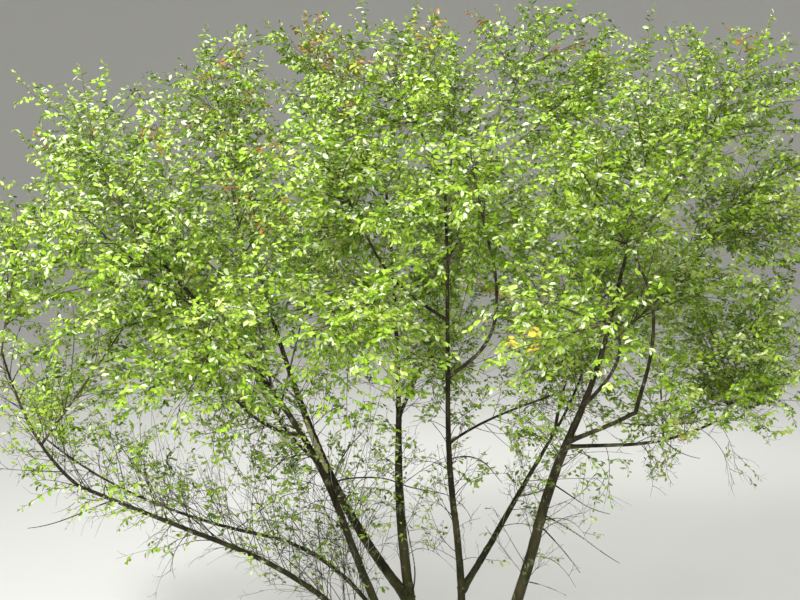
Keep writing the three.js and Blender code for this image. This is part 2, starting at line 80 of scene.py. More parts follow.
# In radians: waves that lean further than this, about half of them, wind the other way.
WINDING_CHANGE = 3
# How strongly streaks, lichen, moss and lenticels show on the bark, from 0 to 1.
STREAKS = 0.25
LICHEN = 0.8
MOSS = 0.85
LENTICELS = 0.45
# How far lenticels stand up, how fine they are, how soft the edge of lichen is, and the finish.
LENTICEL_LIFT = 0.5
LENTICEL_SCALE = 95
LICHEN_EDGE = 0.05
BARK_SHINE = 0.18
BARK_ROUGHNESS = (0.62, 0.92)
# In metres: moss is thickest up to here, and the bark's grain is this deep.
MOSS_FULL = 0.05
GRAIN_DEPTH = 0.003


def normal(vectors):
    return vectors / np.linalg.norm(vectors, axis=-1, keepdims=True)


def add_to_scene(name, content):
    added = bpy.data.objects.new(name, content)
    bpy.context.scene.collection.objects.link(added)
    return added


def make_piece(name, points, faces, materials, tints=None):
    """A mesh of triangles in metres from points in millimetres, riding on the tree."""
    mesh = bpy.data.meshes.new(name)
    mesh.vertices.add(len(points))
    mesh.vertices.foreach_set("co", np.ascontiguousarray(points * MM, dtype=np.float32).ravel())
    mesh.loops.add(3 * len(faces))
    mesh.loops.foreach_set("vertex_index", np.ascontiguousarray(faces, dtype=np.int32).ravel())
    mesh.polygons.add(len(faces))
    mesh.polygons.foreach_set("loop_start", np.arange(0, 3 * len(faces), 3, dtype=np.int32))
    mesh.polygons.foreach_set("use_smooth", np.ones(len(faces), dtype=bool))
    for material in materials:
        mesh.materials.append(material)
    if tints is not None:
        mesh.polygons.foreach_set("material_index", tints.astype(np.int32))
    mesh.update(calc_edges=True)
    mesh.validate()
    piece = add_to_scene(name, mesh)
    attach(piece, "root")
    return piece


def ring_faces(rings, sides):
    """The triangles that close rings of corners, foot first, into a tube with flat ends."""
    ring, side = np.meshgrid(np.arange(rings - 1), np.arange(sides), indexing="ij")
    a = (ring * sides + side).ravel()
    b = (ring * sides + (side + 1) % sides).ravel()
    walls = np.concatenate([np.stack([a, b, b + sides], -1), np.stack([a, b + sides, a + sides], -1)])
    fan = np.arange(1, sides - 1)
    foot = np.stack([0 * fan, fan + 1, fan], -1)
    tip = (rings - 1) * sides + np.stack([0 * fan, fan, fan + 1], -1)
    return np.concatenate([walls, foot, tip])


def bark_lumps(along, turn, dice):
    """Low fluting and lumps of bark, as a share of the radius, from waves along and round the wood."""
    lumps = 0.0
    for wave in range(BARK_WAVES):
        waves_round = 1 + wave % MOST_WAVES_ROUND
        length = dice.uniform(*WAVE_LENGTHS)
        lean, start = dice.uniform(0, 2 * math.pi, 2)
        hand = 1 if lean > WINDING_CHANGE else -1
        lumps = lumps + np.sin(waves_round * turn + hand * 2 * math.pi * along / length + start)
    return lumps / BARK_WAVES


def bark_material(name, dark, middle, light, lichen, lichen_from, moss, moss_to):
    """Smooth grey brown bark with pale lenticels, lichen patches and moss that fades out with height."""
    material = bpy.data.materials.new(name)
    material.use_nodes = True
    nodes, links = material.node_tree.nodes, material.node_tree.links
    surface = nodes["Principled BSDF"]
    surface.inputs["Specular IOR Level"].default_value = BARK_SHINE

    def node(kind, values=None, **settings):
        made = nodes.new(kind)
        for key, value in settings.items():
            setattr(made, key, value)
        for key, value in (values or {}).items():
            made.inputs[key].default_value = value
        return made

    place = node("ShaderNodeTexCoord").outputs["Object"]

    def noise(scale, stretch, detail=5.0, roughness=0.6):
        mapping = node("ShaderNodeMapping", {"Scale": stretch})
        links.new(place, mapping.inputs["Vector"])
        texture = node("ShaderNodeTexNoise", {"Scale": scale, "Detail": detail, "Roughness": roughness})
        links.new(mapping.outputs["Vector"], texture.inputs["Vector"])
        return texture.outputs["Fac"]

    def ramp(source, stops):
        made = node("ShaderNodeValToRGB")
        marks = made.color_ramp.elements
        marks[0].position, marks[-1].position = stops[0][0], stops[-1][0]
        for position, colour in stops[1:-1]:
            marks.new(position)
        for mark, (position, colour) in zip(marks, stops):
            mark.color = (*colour, 1)
        links.new(source, made.inputs["Fac"])
        return made.outputs["Color"]

    def mixed(share, below, above):
        made = node("ShaderNodeMix", data_type="RGBA")
        links.new(share, made.inputs["Factor"])
        for value, socket in ((below, made.inputs["A"]), (above, made.inputs["B"])):
            if isinstance(value, tuple):
                socket.default_value = (*value, 1)
            else:
                links.new(value, socket)
        return made.outputs["Result"]

    def times(first, second):
        made = node("ShaderNodeMath", operation="MULTIPLY", use_clamp=True)
        links.new(first, made.inputs[0])
        if isinstance(second, float):
            made.inputs[1].default_value = second
        else:
            links.new(second, made.inputs[1])
        return made.outputs["Value"]

    # Bands of brown along the wood, with finer pale streaks and patches of lichen.
    black, white = (0, 0, 0), (1, 1, 1)
    ground = ramp(noise(7, (1, 1, 0.45)), [(0.36, dark), (0.5, middle), (0.68, light)])
    streaks = ramp(noise(60, (1, 1, 0.2), 3.0), [(0.42, black), (0.62, white)])
    ground = mixed(times(streaks, STREAKS), ground, light)
    patches = noise(18, (1, 1, 0.8), 7.0, 0.7)
    patches = ramp(patches, [(lichen_from, black), (lichen_from + LICHEN_EDGE, white)])
    ground = mixed(times(patches, LICHEN), ground, lichen)

    # Moss, thick at the ground and gone at its upper limit.
    height = node("ShaderNodeSeparateXYZ")
    links.new(place, height.inputs["Vector"])
    fade = node("ShaderNodeMapRange", {"From Min": moss_to, "From Max": MOSS_FULL}, clamp=True)
    links.new(height.outputs["Z"], fade.inputs["Value"])
    mossy = ramp(noise(16, (1, 1, 1), 6.0, 0.7), [(0.44, black), (0.6, white)])
    ground = mixed(times(times(mossy, fade.outputs["Result"]), MOSS), ground, moss)

    # Lenticels: small pale marks, wider than they are high.
    dots = node("ShaderNodeTexVoronoi", {"Scale": LENTICEL_SCALE}, feature="F1")
    flat = node("ShaderNodeMapping", {"Scale": (0.6, 0.6, 1.7)})
    links.new(place, flat.inputs["Vector"])
    links.new(flat.outputs["Vector"], dots.inputs["Vector"])
    lenticels = ramp(dots.outputs["Distance"], [(0.16, white), (0.26, black)])
    ground = mixed(times(lenticels, LENTICELS), ground, light)
    links.new(ground, surface.inputs["Base Color"])

    # Lichen is rougher than bark, and the lenticels and a fine grain stand up a little.
    rough = node("ShaderNodeMapRange", {"To Min": BARK_ROUGHNESS[0], "To Max": BARK_ROUGHNESS[1]})
    links.new(patches, rough.inputs["Value"])
    links.new(rough.outputs["Result"], surface.inputs["Roughness"])
    lift = node("ShaderNodeMath", operation="ADD")
    links.new(times(lenticels, LENTICEL_LIFT), lift.inputs[0])
    links.new(noise(130, (1, 1, 0.4), 6.0), lift.inputs[1])
    bump = node("ShaderNodeBump", {"Strength": 0.5, "Distance": GRAIN_DEPTH})
    links.new(lift.outputs["Value"], bump.inputs["Height"])
    links.new(bump.outputs["Normal"], surface.inputs["Normal"])
    return material


OLD_BARK = bark_material("old_bark", dark=(0.004, 0.003, 0.0015), middle=(0.018, 0.014, 0.006),
                         light=(0.072, 0.060, 0.028), lichen=(0.24, 0.27, 0.12), lichen_from=0.575,
                         moss=(0.05, 0.080, 0.010), moss_to=2.2)


def make_stool():
    turn = np.linspace(0, 2 * math.pi, STOOL_ROUND, endpoint=False)
    dice = np.random.default_rng([SEED, 1])
    rings = []
    for level in range(STOOL_LEVELS + TOP_RINGS):
        share = min(level / (STOOL_LEVELS - 1), 1)
        height = STOOL_HEIGHTS[-1] * share
        swelling = 1 + np.interp(height, STOOL_HEIGHTS, ROOT_SWELLING) * np.cos(ROOT_HEADS * turn)
        inward = max(level - STOOL_LEVELS + 1, 0) / TOP_RINGS * math.pi / 2
        reach = swelling * (math.cos(inward) * (1 - TOP_MIDDLE) + TOP_MIDDLE)
        rings.append(np.stack([
            STOOL_CENTRE[0] + np.interp(height, STOOL_HEIGHTS, STOOL_WIDTHS) / 2 * reach * np.cos(turn),
            STOOL_CENTRE[1] + np.interp(height, STOOL_HEIGHTS, STOOL_DEPTHS) / 2 * reach * np.sin(turn),
            np.full(STOOL_ROUND, height + TOP_RISE * math.sin(inward))], -1))
    rings = np.array(rings)
    height = rings[:, :, 2]
    lumps = bark_lumps(height * STOOL_LUMP_SHORTNESS, turn[None, :], dice)
    out = rings[:, :, :2] - STOOL_CENTRE
    rings[:, :, :2] += out * (STOOL_LUMPS * lumps * np.clip(height / STOOL_EDGE, 0, 1))[:, :, None]
    faces = ring_faces(len(rings), STOOL_ROUND)
    return make_piece("root_stool_wood", rings.reshape(-1, 3), faces, [OLD_BARK])


stool = make_stool()
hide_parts("root_stool")

# The stems and boughs are round tapering limbs of smooth bark, swelled into a collar where one leaves
# another and knobbed where old twigs were shed. Each is walked in equal steps from its foot, its heading
# (degrees round from X toward Y) and its rise (degrees above level) changing evenly on the way.
LIMB_STEPS = 24
# Name, foot, length, headings, rises and radii. A foot is a point, or a limb and the share along it.
# Headings, rises and radii stand evenly spaced from foot to tip.
LIMBS = [
    ("stem_low_left", (-170, -60, 120), 3180, [-148, -177], [64, 47, 25, 24], [25, 12]),
    ("stem_low_rise", ("stem_low_left", 1), 1030, [176, 160], [40, 63, 74], [12, 7]),
    ("stem_low_back", (-130, 90, 120), 3830, [148, 175], [65, 45, 5, 19, 39], [20, 7]),
    ("stem_left", (-80, -110, 120), 4270, [-171, -148, -166], [62, 66, 70, 57, 49, 52], [35, 9]),
    ("stem_centre_left", (-35, 60, 120), 3960, [168, 88, 112], [64, 78, 76, 70, 73, 76],
     [44, 40, 33, 18, 13, 10]),
    ("bough_left_back", ("stem_centre_left", 0.22), 3340, [171, 148, 138], [49, 57.5, 64, 67, 70, 74],
     [36, 33, 28, 18, 12, 8]),
    ("stem_centre", (50, -60, 120), 3950, [-163, -125, -113], [98, 89, 79, 89, 89, 82],
     [38, 29, 23, 17, 12, 9]),
    ("bough_right_back", ("stem_centre", 0.25), 2370, [44, 42, 42], [39, 47, 46, 46, 60, 65],
     [26, 22, 17, 11, 10, 9]),
    ("stem_right", (140, 20, 120), 3950, [-34, -16, 25], [64, 70, 77, 67, 78, 72],
     [46, 42, 38, 33, 20, 14, 9]),
    ("bough_right_out", ("stem_right", 0.57), 570, [-31, -39], [25, 27, 32], [17, 14]),
    ("bough_right_up", ("bough_right_out", 1), 1110, [-14, -171], [76, 73, 74, 66, 60], [14, 8]),
    ("bough_right_low", ("stem_right", 0.56), 1270, [14, 28], [-1, -3, 8, 18], [15, 8]),
    ("bough_front_right", ("stem_right", 0.64), 1250, [-62, -112], [36, 34, 26], [14, 8]),
    ("bough_centre_right", ("stem_centre", 0.65), 1350, [-34, -124], [33, 37, 51, 60, 61], [14, 8]),
    ("bough_centre_low", ("stem_centre", 0.53), 1090, [44, 29], [20, 13, 10, 12], [10, 7]),
    ("bough_centre_left", ("stem_centre", 0.75), 1090, [-128, -121], [27, 25, 37, 49], [12, 7]),
    ("bough_top_left", ("stem_centre", 1), 380, [-140, -129], [48, 53, 58], [9, 7]),
    ("bough_top_right", ("stem_centre", 0.92), 640, [48, 39], [56, 52, 50], [9, 7]),
    ("bough_left_out", ("stem_left", 0.57), 1180, [-129, -114], [13, 29, 43, 43], [13, 7]),
    ("bough_back", ("stem_centre_left", 0.56), 1150, [72, 48], [30, 42, 52], [15, 8]),
    ("bough_back_left", ("bough_left_back", 0.34), 1150, [136, 120], [18, 30, 38], [14, 8]),
    ("bough_back_right", ("bough_right_back", 0.6), 1150, [80, 62], [22, 32, 40], [14, 8]),
]
RING_STEP = 15
# Limbs with a thicker foot radius than this have more sides. Thinner boughs are joined into one piece.
THICK_LIMB = 18
THICK_SIDES = 18
THIN_SIDES = 12
# Swelling at the foot of a limb on a limb, and on the stool, as a share of the radius, and its length,
# as a multiple of the foot radius or in millimetres.
COLLAR = 0.5
COLLAR_LENGTH = 1.6
FOOT_FLARE = 0.45
FLARE_LENGTH = 110
FLUTING = 0.09
KNOT_SPACING = 170
LOWEST_KNOT = 60
KNOT_HEIGHTS = (0.06, 0.2)
KNOT_WIDTH = 15
KNOT_TURN = 0.5
UP = np.array([0.0, 0.0, 1.0])
# Rings are turned from a way that no limb runs in.
ASKEW = [0.31, -0.83, 0.46]
# A strip of bark has torn off the front of one bough: from share to share, which way it faces, half its
# width and the width of its brown edges in radians round the limb, how ragged it is, and where it ends.
TORN_LIMB = "bough_left_back"
TORN_SPAN = [0.33, 0.465]
TORN_FACE = [-0.35, -0.9, 0.25]
TORN_HALF = 0.75
TORN_EDGE = 0.4
TORN_RAGGED = (0.8, 1.2)
TORN_END = 0.1

BOUGH_BARK = bark_material("bough_bark", dark=(0.006, 0.0045, 0.0025), middle=(0.026, 0.020, 0.010),
                           light=(0.105, 0.09, 0.05), lichen=(0.27, 0.29, 0.15), lichen_from=0.585,
                           moss=(0.05, 0.065, 0.014), moss_to=2.6)


def plain_finish(name, colour, roughness):
    material = bpy.data.materials.new(name)
    material.use_nodes = True
    surface = material.node_tree.nodes["Principled BSDF"]
    surface.inputs["Base Color"].default_value = (*colour, 1)
    surface.inputs["Roughness"].default_value = roughness
    surface.inputs["Specular IOR Level"].default_value = 0.2
    return material


def blend(values, share):
    return np.interp(share, np.linspace(0, 1, len(values)), values)


def point_along(path, share):
    place = np.clip(share, 0, 1) * (len(path) - 1)
    low = np.minimum(np.floor(place).astype(int), len(path) - 2)
    return path[low] + (path[low + 1] - path[low]) * np.expand_dims(place - low, -1)


def direction_along(path, share):
    step = 0.5 / (len(path) - 1)
    return normal(point_along(path, np.add(share, step)) - point_along(path, np.subtract(share, step)))


def walk(start, length, headings, rises):
    """The points of a limb: equal steps, each in its own heading and rise."""
    share = (np.arange(LIMB_STEPS) + 0.5) / LIMB_STEPS
    heading, rise = np.radians(blend(headings, share)), np.radians(blend(rises, share))
    steps = np.stack([np.cos(rise) * np.cos(heading), np.cos(rise) * np.sin(heading), np.sin(rise)], -1)
    return np.vstack([start, start + np.cumsum(steps * length / LIMB_STEPS, 0)])


def smoothed(path, count):
    """Many points on the smooth curve through a few."""
    ends = np.vstack([2 * path[0] - path[1], path, 2 * path[-1] - path[-2]])
    place = np.linspace(0, len(path) - 1, count)
    low = np.minimum(place.astype(int), len(path) - 2)
    t = (place - low)[:, None]
    a, b, c, d = (ends[low + k] for k in range(4))
    slope, bow, twist = c - a, 2 * a - 5 * b + 4 * c - d, 3 * b - a - 3 * c + d
    return 0.5 * (2 * b + slope * t + bow * t ** 2 + twist * t ** 3)


def tubes(paths, radii, sides):
    """Closed round tubes along many paths with equally many points, their corners and triangles."""
    forward = normal(np.gradient(paths, axis=1))
    across = normal(np.cross(forward[:, 0], ASKEW))
    turn = 2 * math.pi * np.arange(sides) / sides
    rings = np.empty((*paths.shape[:2], sides, 3))
    radii = radii if radii.ndim == 3 else radii[:, :, None]
    for k in range(paths.shape[1]):
        along = forward[:, k]
        across = normal(across - np.sum(across * along, -1, keepdims=True) * along)
        other = np.cross(along, across)
        around = np.cos(turn)[:, None] * across[:, None] + np.sin(turn)[:, None] * other[:, None]
        rings[:, k] = paths[:, k, None] + radii[:, k, :, None] * around
    faces = ring_faces(paths.shape[1], sides)
    starts = np.arange(len(paths)) * paths.shape[1] * sides
    return rings.reshape(-1, 3), (faces[None] + starts[:, None, None]).reshape(-1, 3)


def joined(parts):
    """Corners and triangles of many meshes as one."""
    counts = np.cumsum([0] + [len(points) for points, _ in parts[:-1]])
    return (np.concatenate([points for points, _ in parts]),
            np.concatenate([faces + count for (_, faces), count in zip(parts, counts)]))


def limb_mesh(index, limb):
    """One limb with its collar or root flare, its fluting and its knots."""
    count = int(limb["length"] / RING_STEP)
    path = smoothed(limb["path"], count)
    share = np.linspace(0, 1, count)
    along = share * limb["length"]
    sides = THICK_SIDES if limb["radius"][0] > THICK_LIMB else THIN_SIDES
    turn = 2 * math.pi * np.arange(sides) / sides
    radius = blend(limb["radius"], share)
    if limb["on"] is None:
        radius = radius * (1 + FOOT_FLARE * np.exp(-along / FLARE_LENGTH))
    elif limb["at"] < 1:
        skin = blend(limbs[limb["on"]]["radius"], limb["at"])
        fade = COLLAR_LENGTH * limb["radius"][0]
        radius = radius * (1 + COLLAR * np.exp(-np.maximum(along - skin, 0) / fade))
    dice = np.random.default_rng([SEED, 2, index])
    relief = FLUTING * bark_lumps(along[:, None], turn[None, :], dice)
    for _ in range(int(limb["length"] / KNOT_SPACING)):
        at = dice.uniform(LOWEST_KNOT, limb["length"])
        face = dice.uniform(0, 2 * math.pi)
        high = dice.uniform(*KNOT_HEIGHTS)
        off = (along[:, None] - at) / KNOT_WIDTH
        bend = np.abs((turn - face + math.pi) % (2 * math.pi) - math.pi)[None, :] / KNOT_TURN
        relief = relief + high * np.exp(-off ** 2 - bend ** 2)
    return tubes(path[None], (radius[:, None] * (1 + relief))[None], sides)


def torn_strip(limb, points, faces):
    """Which faces of a limb are pale bare wood, 1, or the torn brown edge round it, 2."""
    rings = int(limb["length"] / RING_STEP)
    sides = len(points) // rings
    share = faces[:, 0] // sides / (rings - 1)
    offset = points[faces].mean(1) - point_along(smoothed(limb["path"], rings), share)
    facing = normal(np.array(TORN_FACE))
    turn = np.arccos(np.clip(np.sum(normal(offset) * facing, -1), -1, 1))
    place = np.clip((share - TORN_SPAN[0]) / (TORN_SPAN[1] - TORN_SPAN[0]), 0, 1)
    ragged = np.random.default_rng([SEED, 6]).uniform(*TORN_RAGGED, rings)[faces[:, 0] // sides]
    half = TORN_HALF * ragged * np.sqrt(np.sin(math.pi * place))
    edge = np.where(turn < half + TORN_EDGE, 2, 0)
    return np.where(half < TORN_END, 0, np.where(turn < half, 1, edge))


BARE_HEARTWOOD = plain_finish("bare_heartwood", (0.46, 0.44, 0.25), 0.7)
TORN_BARK = plain_finish("torn_bark", (0.10, 0.05, 0.025), 0.8)
limbs = {}
for name, foot, length, headings, rises, radius in LIMBS:
    on, at = foot if isinstance(foot[0], str) else (None, 0)
    start = point_along(limbs[on]["path"], at) if on else np.array(foot, dtype=float)
    limbs[name] = {"path": walk(start, length, headings, rises), "length": length,
                   "radius": radius, "on": on, "at": at}

thin_boughs = [name for name in limbs if name.startswith("bough") and limbs[name]["radius"][0] < THICK_LIMB]
for index, name in enumerate(limbs):
    if name not in thin_boughs:
        points, faces = limb_mesh(index, limbs[name])
        if name == TORN_LIMB:
            wood = make_piece(name + "_wood", points, faces, [OLD_BARK, BARE_HEARTWOOD, TORN_BARK],
                              torn_strip(limbs[name], points, faces))
        else:
            wood = make_piece(name + "_wood", points, faces, [OLD_BARK])
        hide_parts(name)
points, faces = joined([limb_mesh(index, limbs[name]) for index, name in enumerate(limbs)
                        if name in thin_boughs])
boughs = make_piece("thin_boughs_wood", points, faces, [BOUGH_BARK])
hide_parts(*thin_boughs)

# Bare shoots hang and fork below the crown where the shade has killed the leaves. The longer ones stand
# where the photograph shows them, and fine dead twigs spring from the lower stems by a seeded rule.

# Limb, share along it, length, headings, rises and foot radius.
BARE_SHOOTS = [
    ("stem_right", 0.43, 628, [-28, -28, -22, -27], [-18, -24, -33, -23], 7.5),
    ("stem_right", 0.49, 612, [31, 35, 24], [-34, -34, -16], 6.5),
    ("stem_right", 0.41, 561, [26, 39], [-44, -51], 7),
    ("stem_right", 0.30, 325, [-28, -20], [2, -24], 5),
    ("stem_right", 0.51, 230, [4, 4], [42, 36], 4),
    ("stem_centre_left", 0.22, 793, [-17, -146, -165], [74, 77, 79], 6),
    ("stem_centre", 0.66, 383, [-159, -144], [22, 37], 5),
    ("stem_centre", 0.50, 450, [2, -2], [24, -8, -50, -52], 6),
    ("bough_right_out", 0.7, 760, [8, 13, 17], [-10, 0, 7], 5),
    ("bough_right_low", 0.60, 289, [-37, -22], [-39, -3], 5),
    ("bough_right_back", 0.35, 240, [0, 0], [4, 30], 8),
    ("bough_left_back", 0.31, 560, [0, 0], [82, 62, 45, 66], 8),
    ("bough_left_back", 0.31, 1120, [-8, -10], [22, 6, 0, -22, -8, -8, -40, -66], 6.5),
    ("stem_left", 0.53, 430, [-176, -168], [12, -8, -30, -48, -58], 7),
    ("stem_left", 0.36, 520, [150, 160], [60, 40, 6, -30], 4),
    ("stem_low_back", 0.56, 640, [-4, 4], [30, 42, 36, 20, -8], 5),
    ("stem_low_back", 0.40, 560, [-170, -176], [66, 50, 10, -36], 4),
    ("stem_low_left", 0.62, 640, [176, 170], [30, 10, -20, -44], 4.5),
    ("stem_low_left", 0.92, 600, [-172, -182], [-16, -24, -18, -6], 5.5),
]
# Limb, first and last share, how many, longest, and how strongly they turn up, or down below zero.
LOW_TWIGS = [
    ("stem_low_left", 0.3, 1.0, 62, 1050, 1.1), ("stem_low_rise", 0.0, 1.0, 26, 620, 0.3),
    ("stem_low_back", 0.2, 1.0, 62, 1000, 1.1), ("stem_left", 0.28, 0.7, 36, 860, 0.0),
    ("stem_centre_left", 0.28, 0.7, 30, 720, 0.1), ("bough_left_back", 0.15, 0.6, 30, 800, 0.0),
    ("stem_centre", 0.3, 0.7, 30, 640, 0.2), ("bough_right_back", 0.2, 0.9, 26, 620, 0.2),
    ("stem_right", 0.28, 0.66, 30, 660, 0.2), ("bough_right_low", 0.2, 1.0, 22, 560, 0.0),
    ("bough_left_out", 0.1, 1.0, 24, 620, -0.2), ("bough_centre_low", 0.1, 1.0, 16, 480, 0.0),
    ("bough_back_left", 0.0, 0.8, 14, 620, 0.0), ("bough_back_right", 0.0, 0.8, 14, 620, 0.0),
    ("stem_low_left", 0.25, 0.95, 18, 560, -0.5), ("stem_low_back", 0.3, 0.9, 10, 480, -0.4),
]
BARE_TIP_RADIUS = 2.0
BARE_SIDES = 6
# Bends are the least and most up, and the sway to any side, as shares of the length.
LOW_FORWARD = 0.6
LOW_LENGTHS = (0.3, 1)
LOW_BENDS = (-0.5, 0.35, 0.24)
LOW_CUT_BACK = 0.4
LOW_RADIUS = [3.0, 1.0]
LOW_POINTS = 8
LOW_SIDES = 4
SIDE_PLACES = (0.25, 0.95)
SIDE_SPREAD = 0.9
SIDE_LENGTHS = (0.25, 0.55)
SIDE_BENDS = (-0.45, 0.4, 0.22)
FORKS_PER_TWIG = 4
FORK_RADIUS = [1.8, 0.8]
FORK_POINTS = 5
SPRIGS_PER_FORK = 2
SPRIG_RADIUS = [1.2, 0.7]
SPRIG_POINTS = 3
FINE_SIDES = 3
ARCH_SHORTENING = 0.12
# Dead wood has weathered pale on a share of the twigs, in runs of as many faces as a twig has.
PALE_TWIGS = 0.2
RUN_OF_FACES = 28
GROWTH_MARGIN = 60
GROWTH_BOX = np.array(CAD_BOX) / MM + np.array([[-GROWTH_MARGIN], [GROWTH_MARGIN]])


def arch(root, way, length, bend, t):
    """A point of an arching twig: out along its way, then off by its bend, a share of its length."""
    return root + way * length * t * (1 - ARCH_SHORTENING * t) + bend * length * t ** 2


def arched(root, way, length, bend, points):
    t = np.linspace(0, 1, points)[None, :, None]
    return arch(root[:, None], way[:, None], np.reshape(length, (-1, 1, 1)), bend[:, None], t)


def inside_box(points):
    return np.all((points > GROWTH_BOX[0]) & (points < GROWTH_BOX[1]), axis=-1)


def side_shoots(paths, way, length, per_path, dice):
    """Finer shoots that leave arching twigs partway along, as rows of root, way, length and bend."""
    owner = np.repeat(np.arange(len(paths)), per_path)
    place = dice.uniform(*SIDE_PLACES, len(owner))
    root = np.array([point_along(paths[k], at) for k, at in zip(owner, place)])
    off = normal(np.cross(way[owner], dice.normal(size=(len(owner), 3))))
    side = normal(way[owner] + SIDE_SPREAD * off)
    reach = length[owner] * dice.uniform(*SIDE_LENGTHS, len(owner))
    bend = bends(len(owner), *SIDE_BENDS, dice)
    inside = inside_box(arched(root, side, reach, bend, FORK_POINTS)).all(1)
    return root[inside], side[inside], reach[inside], bend[inside]


def bends(count, low, high, sway, dice):
    """For each twig a bend up or down, and a smaller one to any side."""
    return UP * dice.uniform(low, high, count)[:, None] + sway * dice.normal(size=(count, 3))


def some_of(faces, share, dice):
    """Marks runs of a few faces, about a twig long, as a share of all."""
    runs = dice.random(len(faces) // RUN_OF_FACES + 1) < share
    return np.repeat(runs, RUN_OF_FACES)[:len(faces)]


def tapered(radii, count, points, scale=1.0):
    return np.reshape(scale, (-1, 1)) * np.tile(np.linspace(radii[0], radii[1], points), (count, 1))


BARE_WOOD = plain_finish("bare_twig", (0.032, 0.026, 0.014), 0.75)
PALE_WOOD = plain_finish("weathered_twig", (0.36, 0.34, 0.27), 0.8)
bare_parts = []
low_shoots = []
for on, at, length, headings, rises, radius in BARE_SHOOTS:
    path = walk(point_along(limbs[on]["path"], at), length, headings, rises)[None]
    bare_parts.append(tubes(path, tapered((radius, BARE_TIP_RADIUS), 1, LIMB_STEPS + 1), BARE_SIDES))
dice = np.random.default_rng([SEED, 3])
for on, first, last, count, longest, lift in LOW_TWIGS:
    share = np.sort(dice.uniform(first, last, count))
    root, forward = point_along(limbs[on]["path"], share), direction_along(limbs[on]["path"], share)
    outward = normal(normal(np.cross(forward, dice.normal(size=(count, 3)))) + lift * UP)
    way = normal(LOW_FORWARD * forward + outward)
    length = longest * dice.uniform(*LOW_LENGTHS, count)
    bend = bends(count, *LOW_BENDS, dice)
    twigs = arched(root, way, length, bend, LOW_POINTS)
    length = np.where(inside_box(twigs).all(1), length, LOW_CUT_BACK * length)
    twigs = arched(root, way, length, bend, LOW_POINTS)
    forks = side_shoots(twigs, way, length, FORKS_PER_TWIG, dice)
    fork_paths = arched(*forks, FORK_POINTS)
    sprigs = side_shoots(fork_paths, forks[1], forks[2], SPRIGS_PER_FORK, dice)
    sprig_paths = arched(*sprigs, SPRIG_POINTS)
    bare_parts += [
        tubes(twigs, tapered(LOW_RADIUS, count, LOW_POINTS), LOW_SIDES),
        tubes(fork_paths, tapered(FORK_RADIUS, len(fork_paths), FORK_POINTS), FINE_SIDES),
        tubes(sprig_paths, tapered(SPRIG_RADIUS, len(sprig_paths), SPRIG_POINTS), FINE_SIDES)]
    low_shoots += [forks, sprigs]
points, faces = joined(bare_parts)
weathered = np.concatenate([some_of(part[1], PALE_TWIGS, dice) for part in bare_parts])
bare_shoots = make_piece("bare_shoots", points, faces, [BARE_WOOD, PALE_WOOD], weathered)

# The foliage: each mass has one stem from its limb, twigs that run out from it, leafy shoots along the
# twigs and leaves turn about on the shoots, each leaf folded on its midrib and arched to its tip.
# A mass keeps inside an oval space and on its own side of the plane shared with each neighbour.

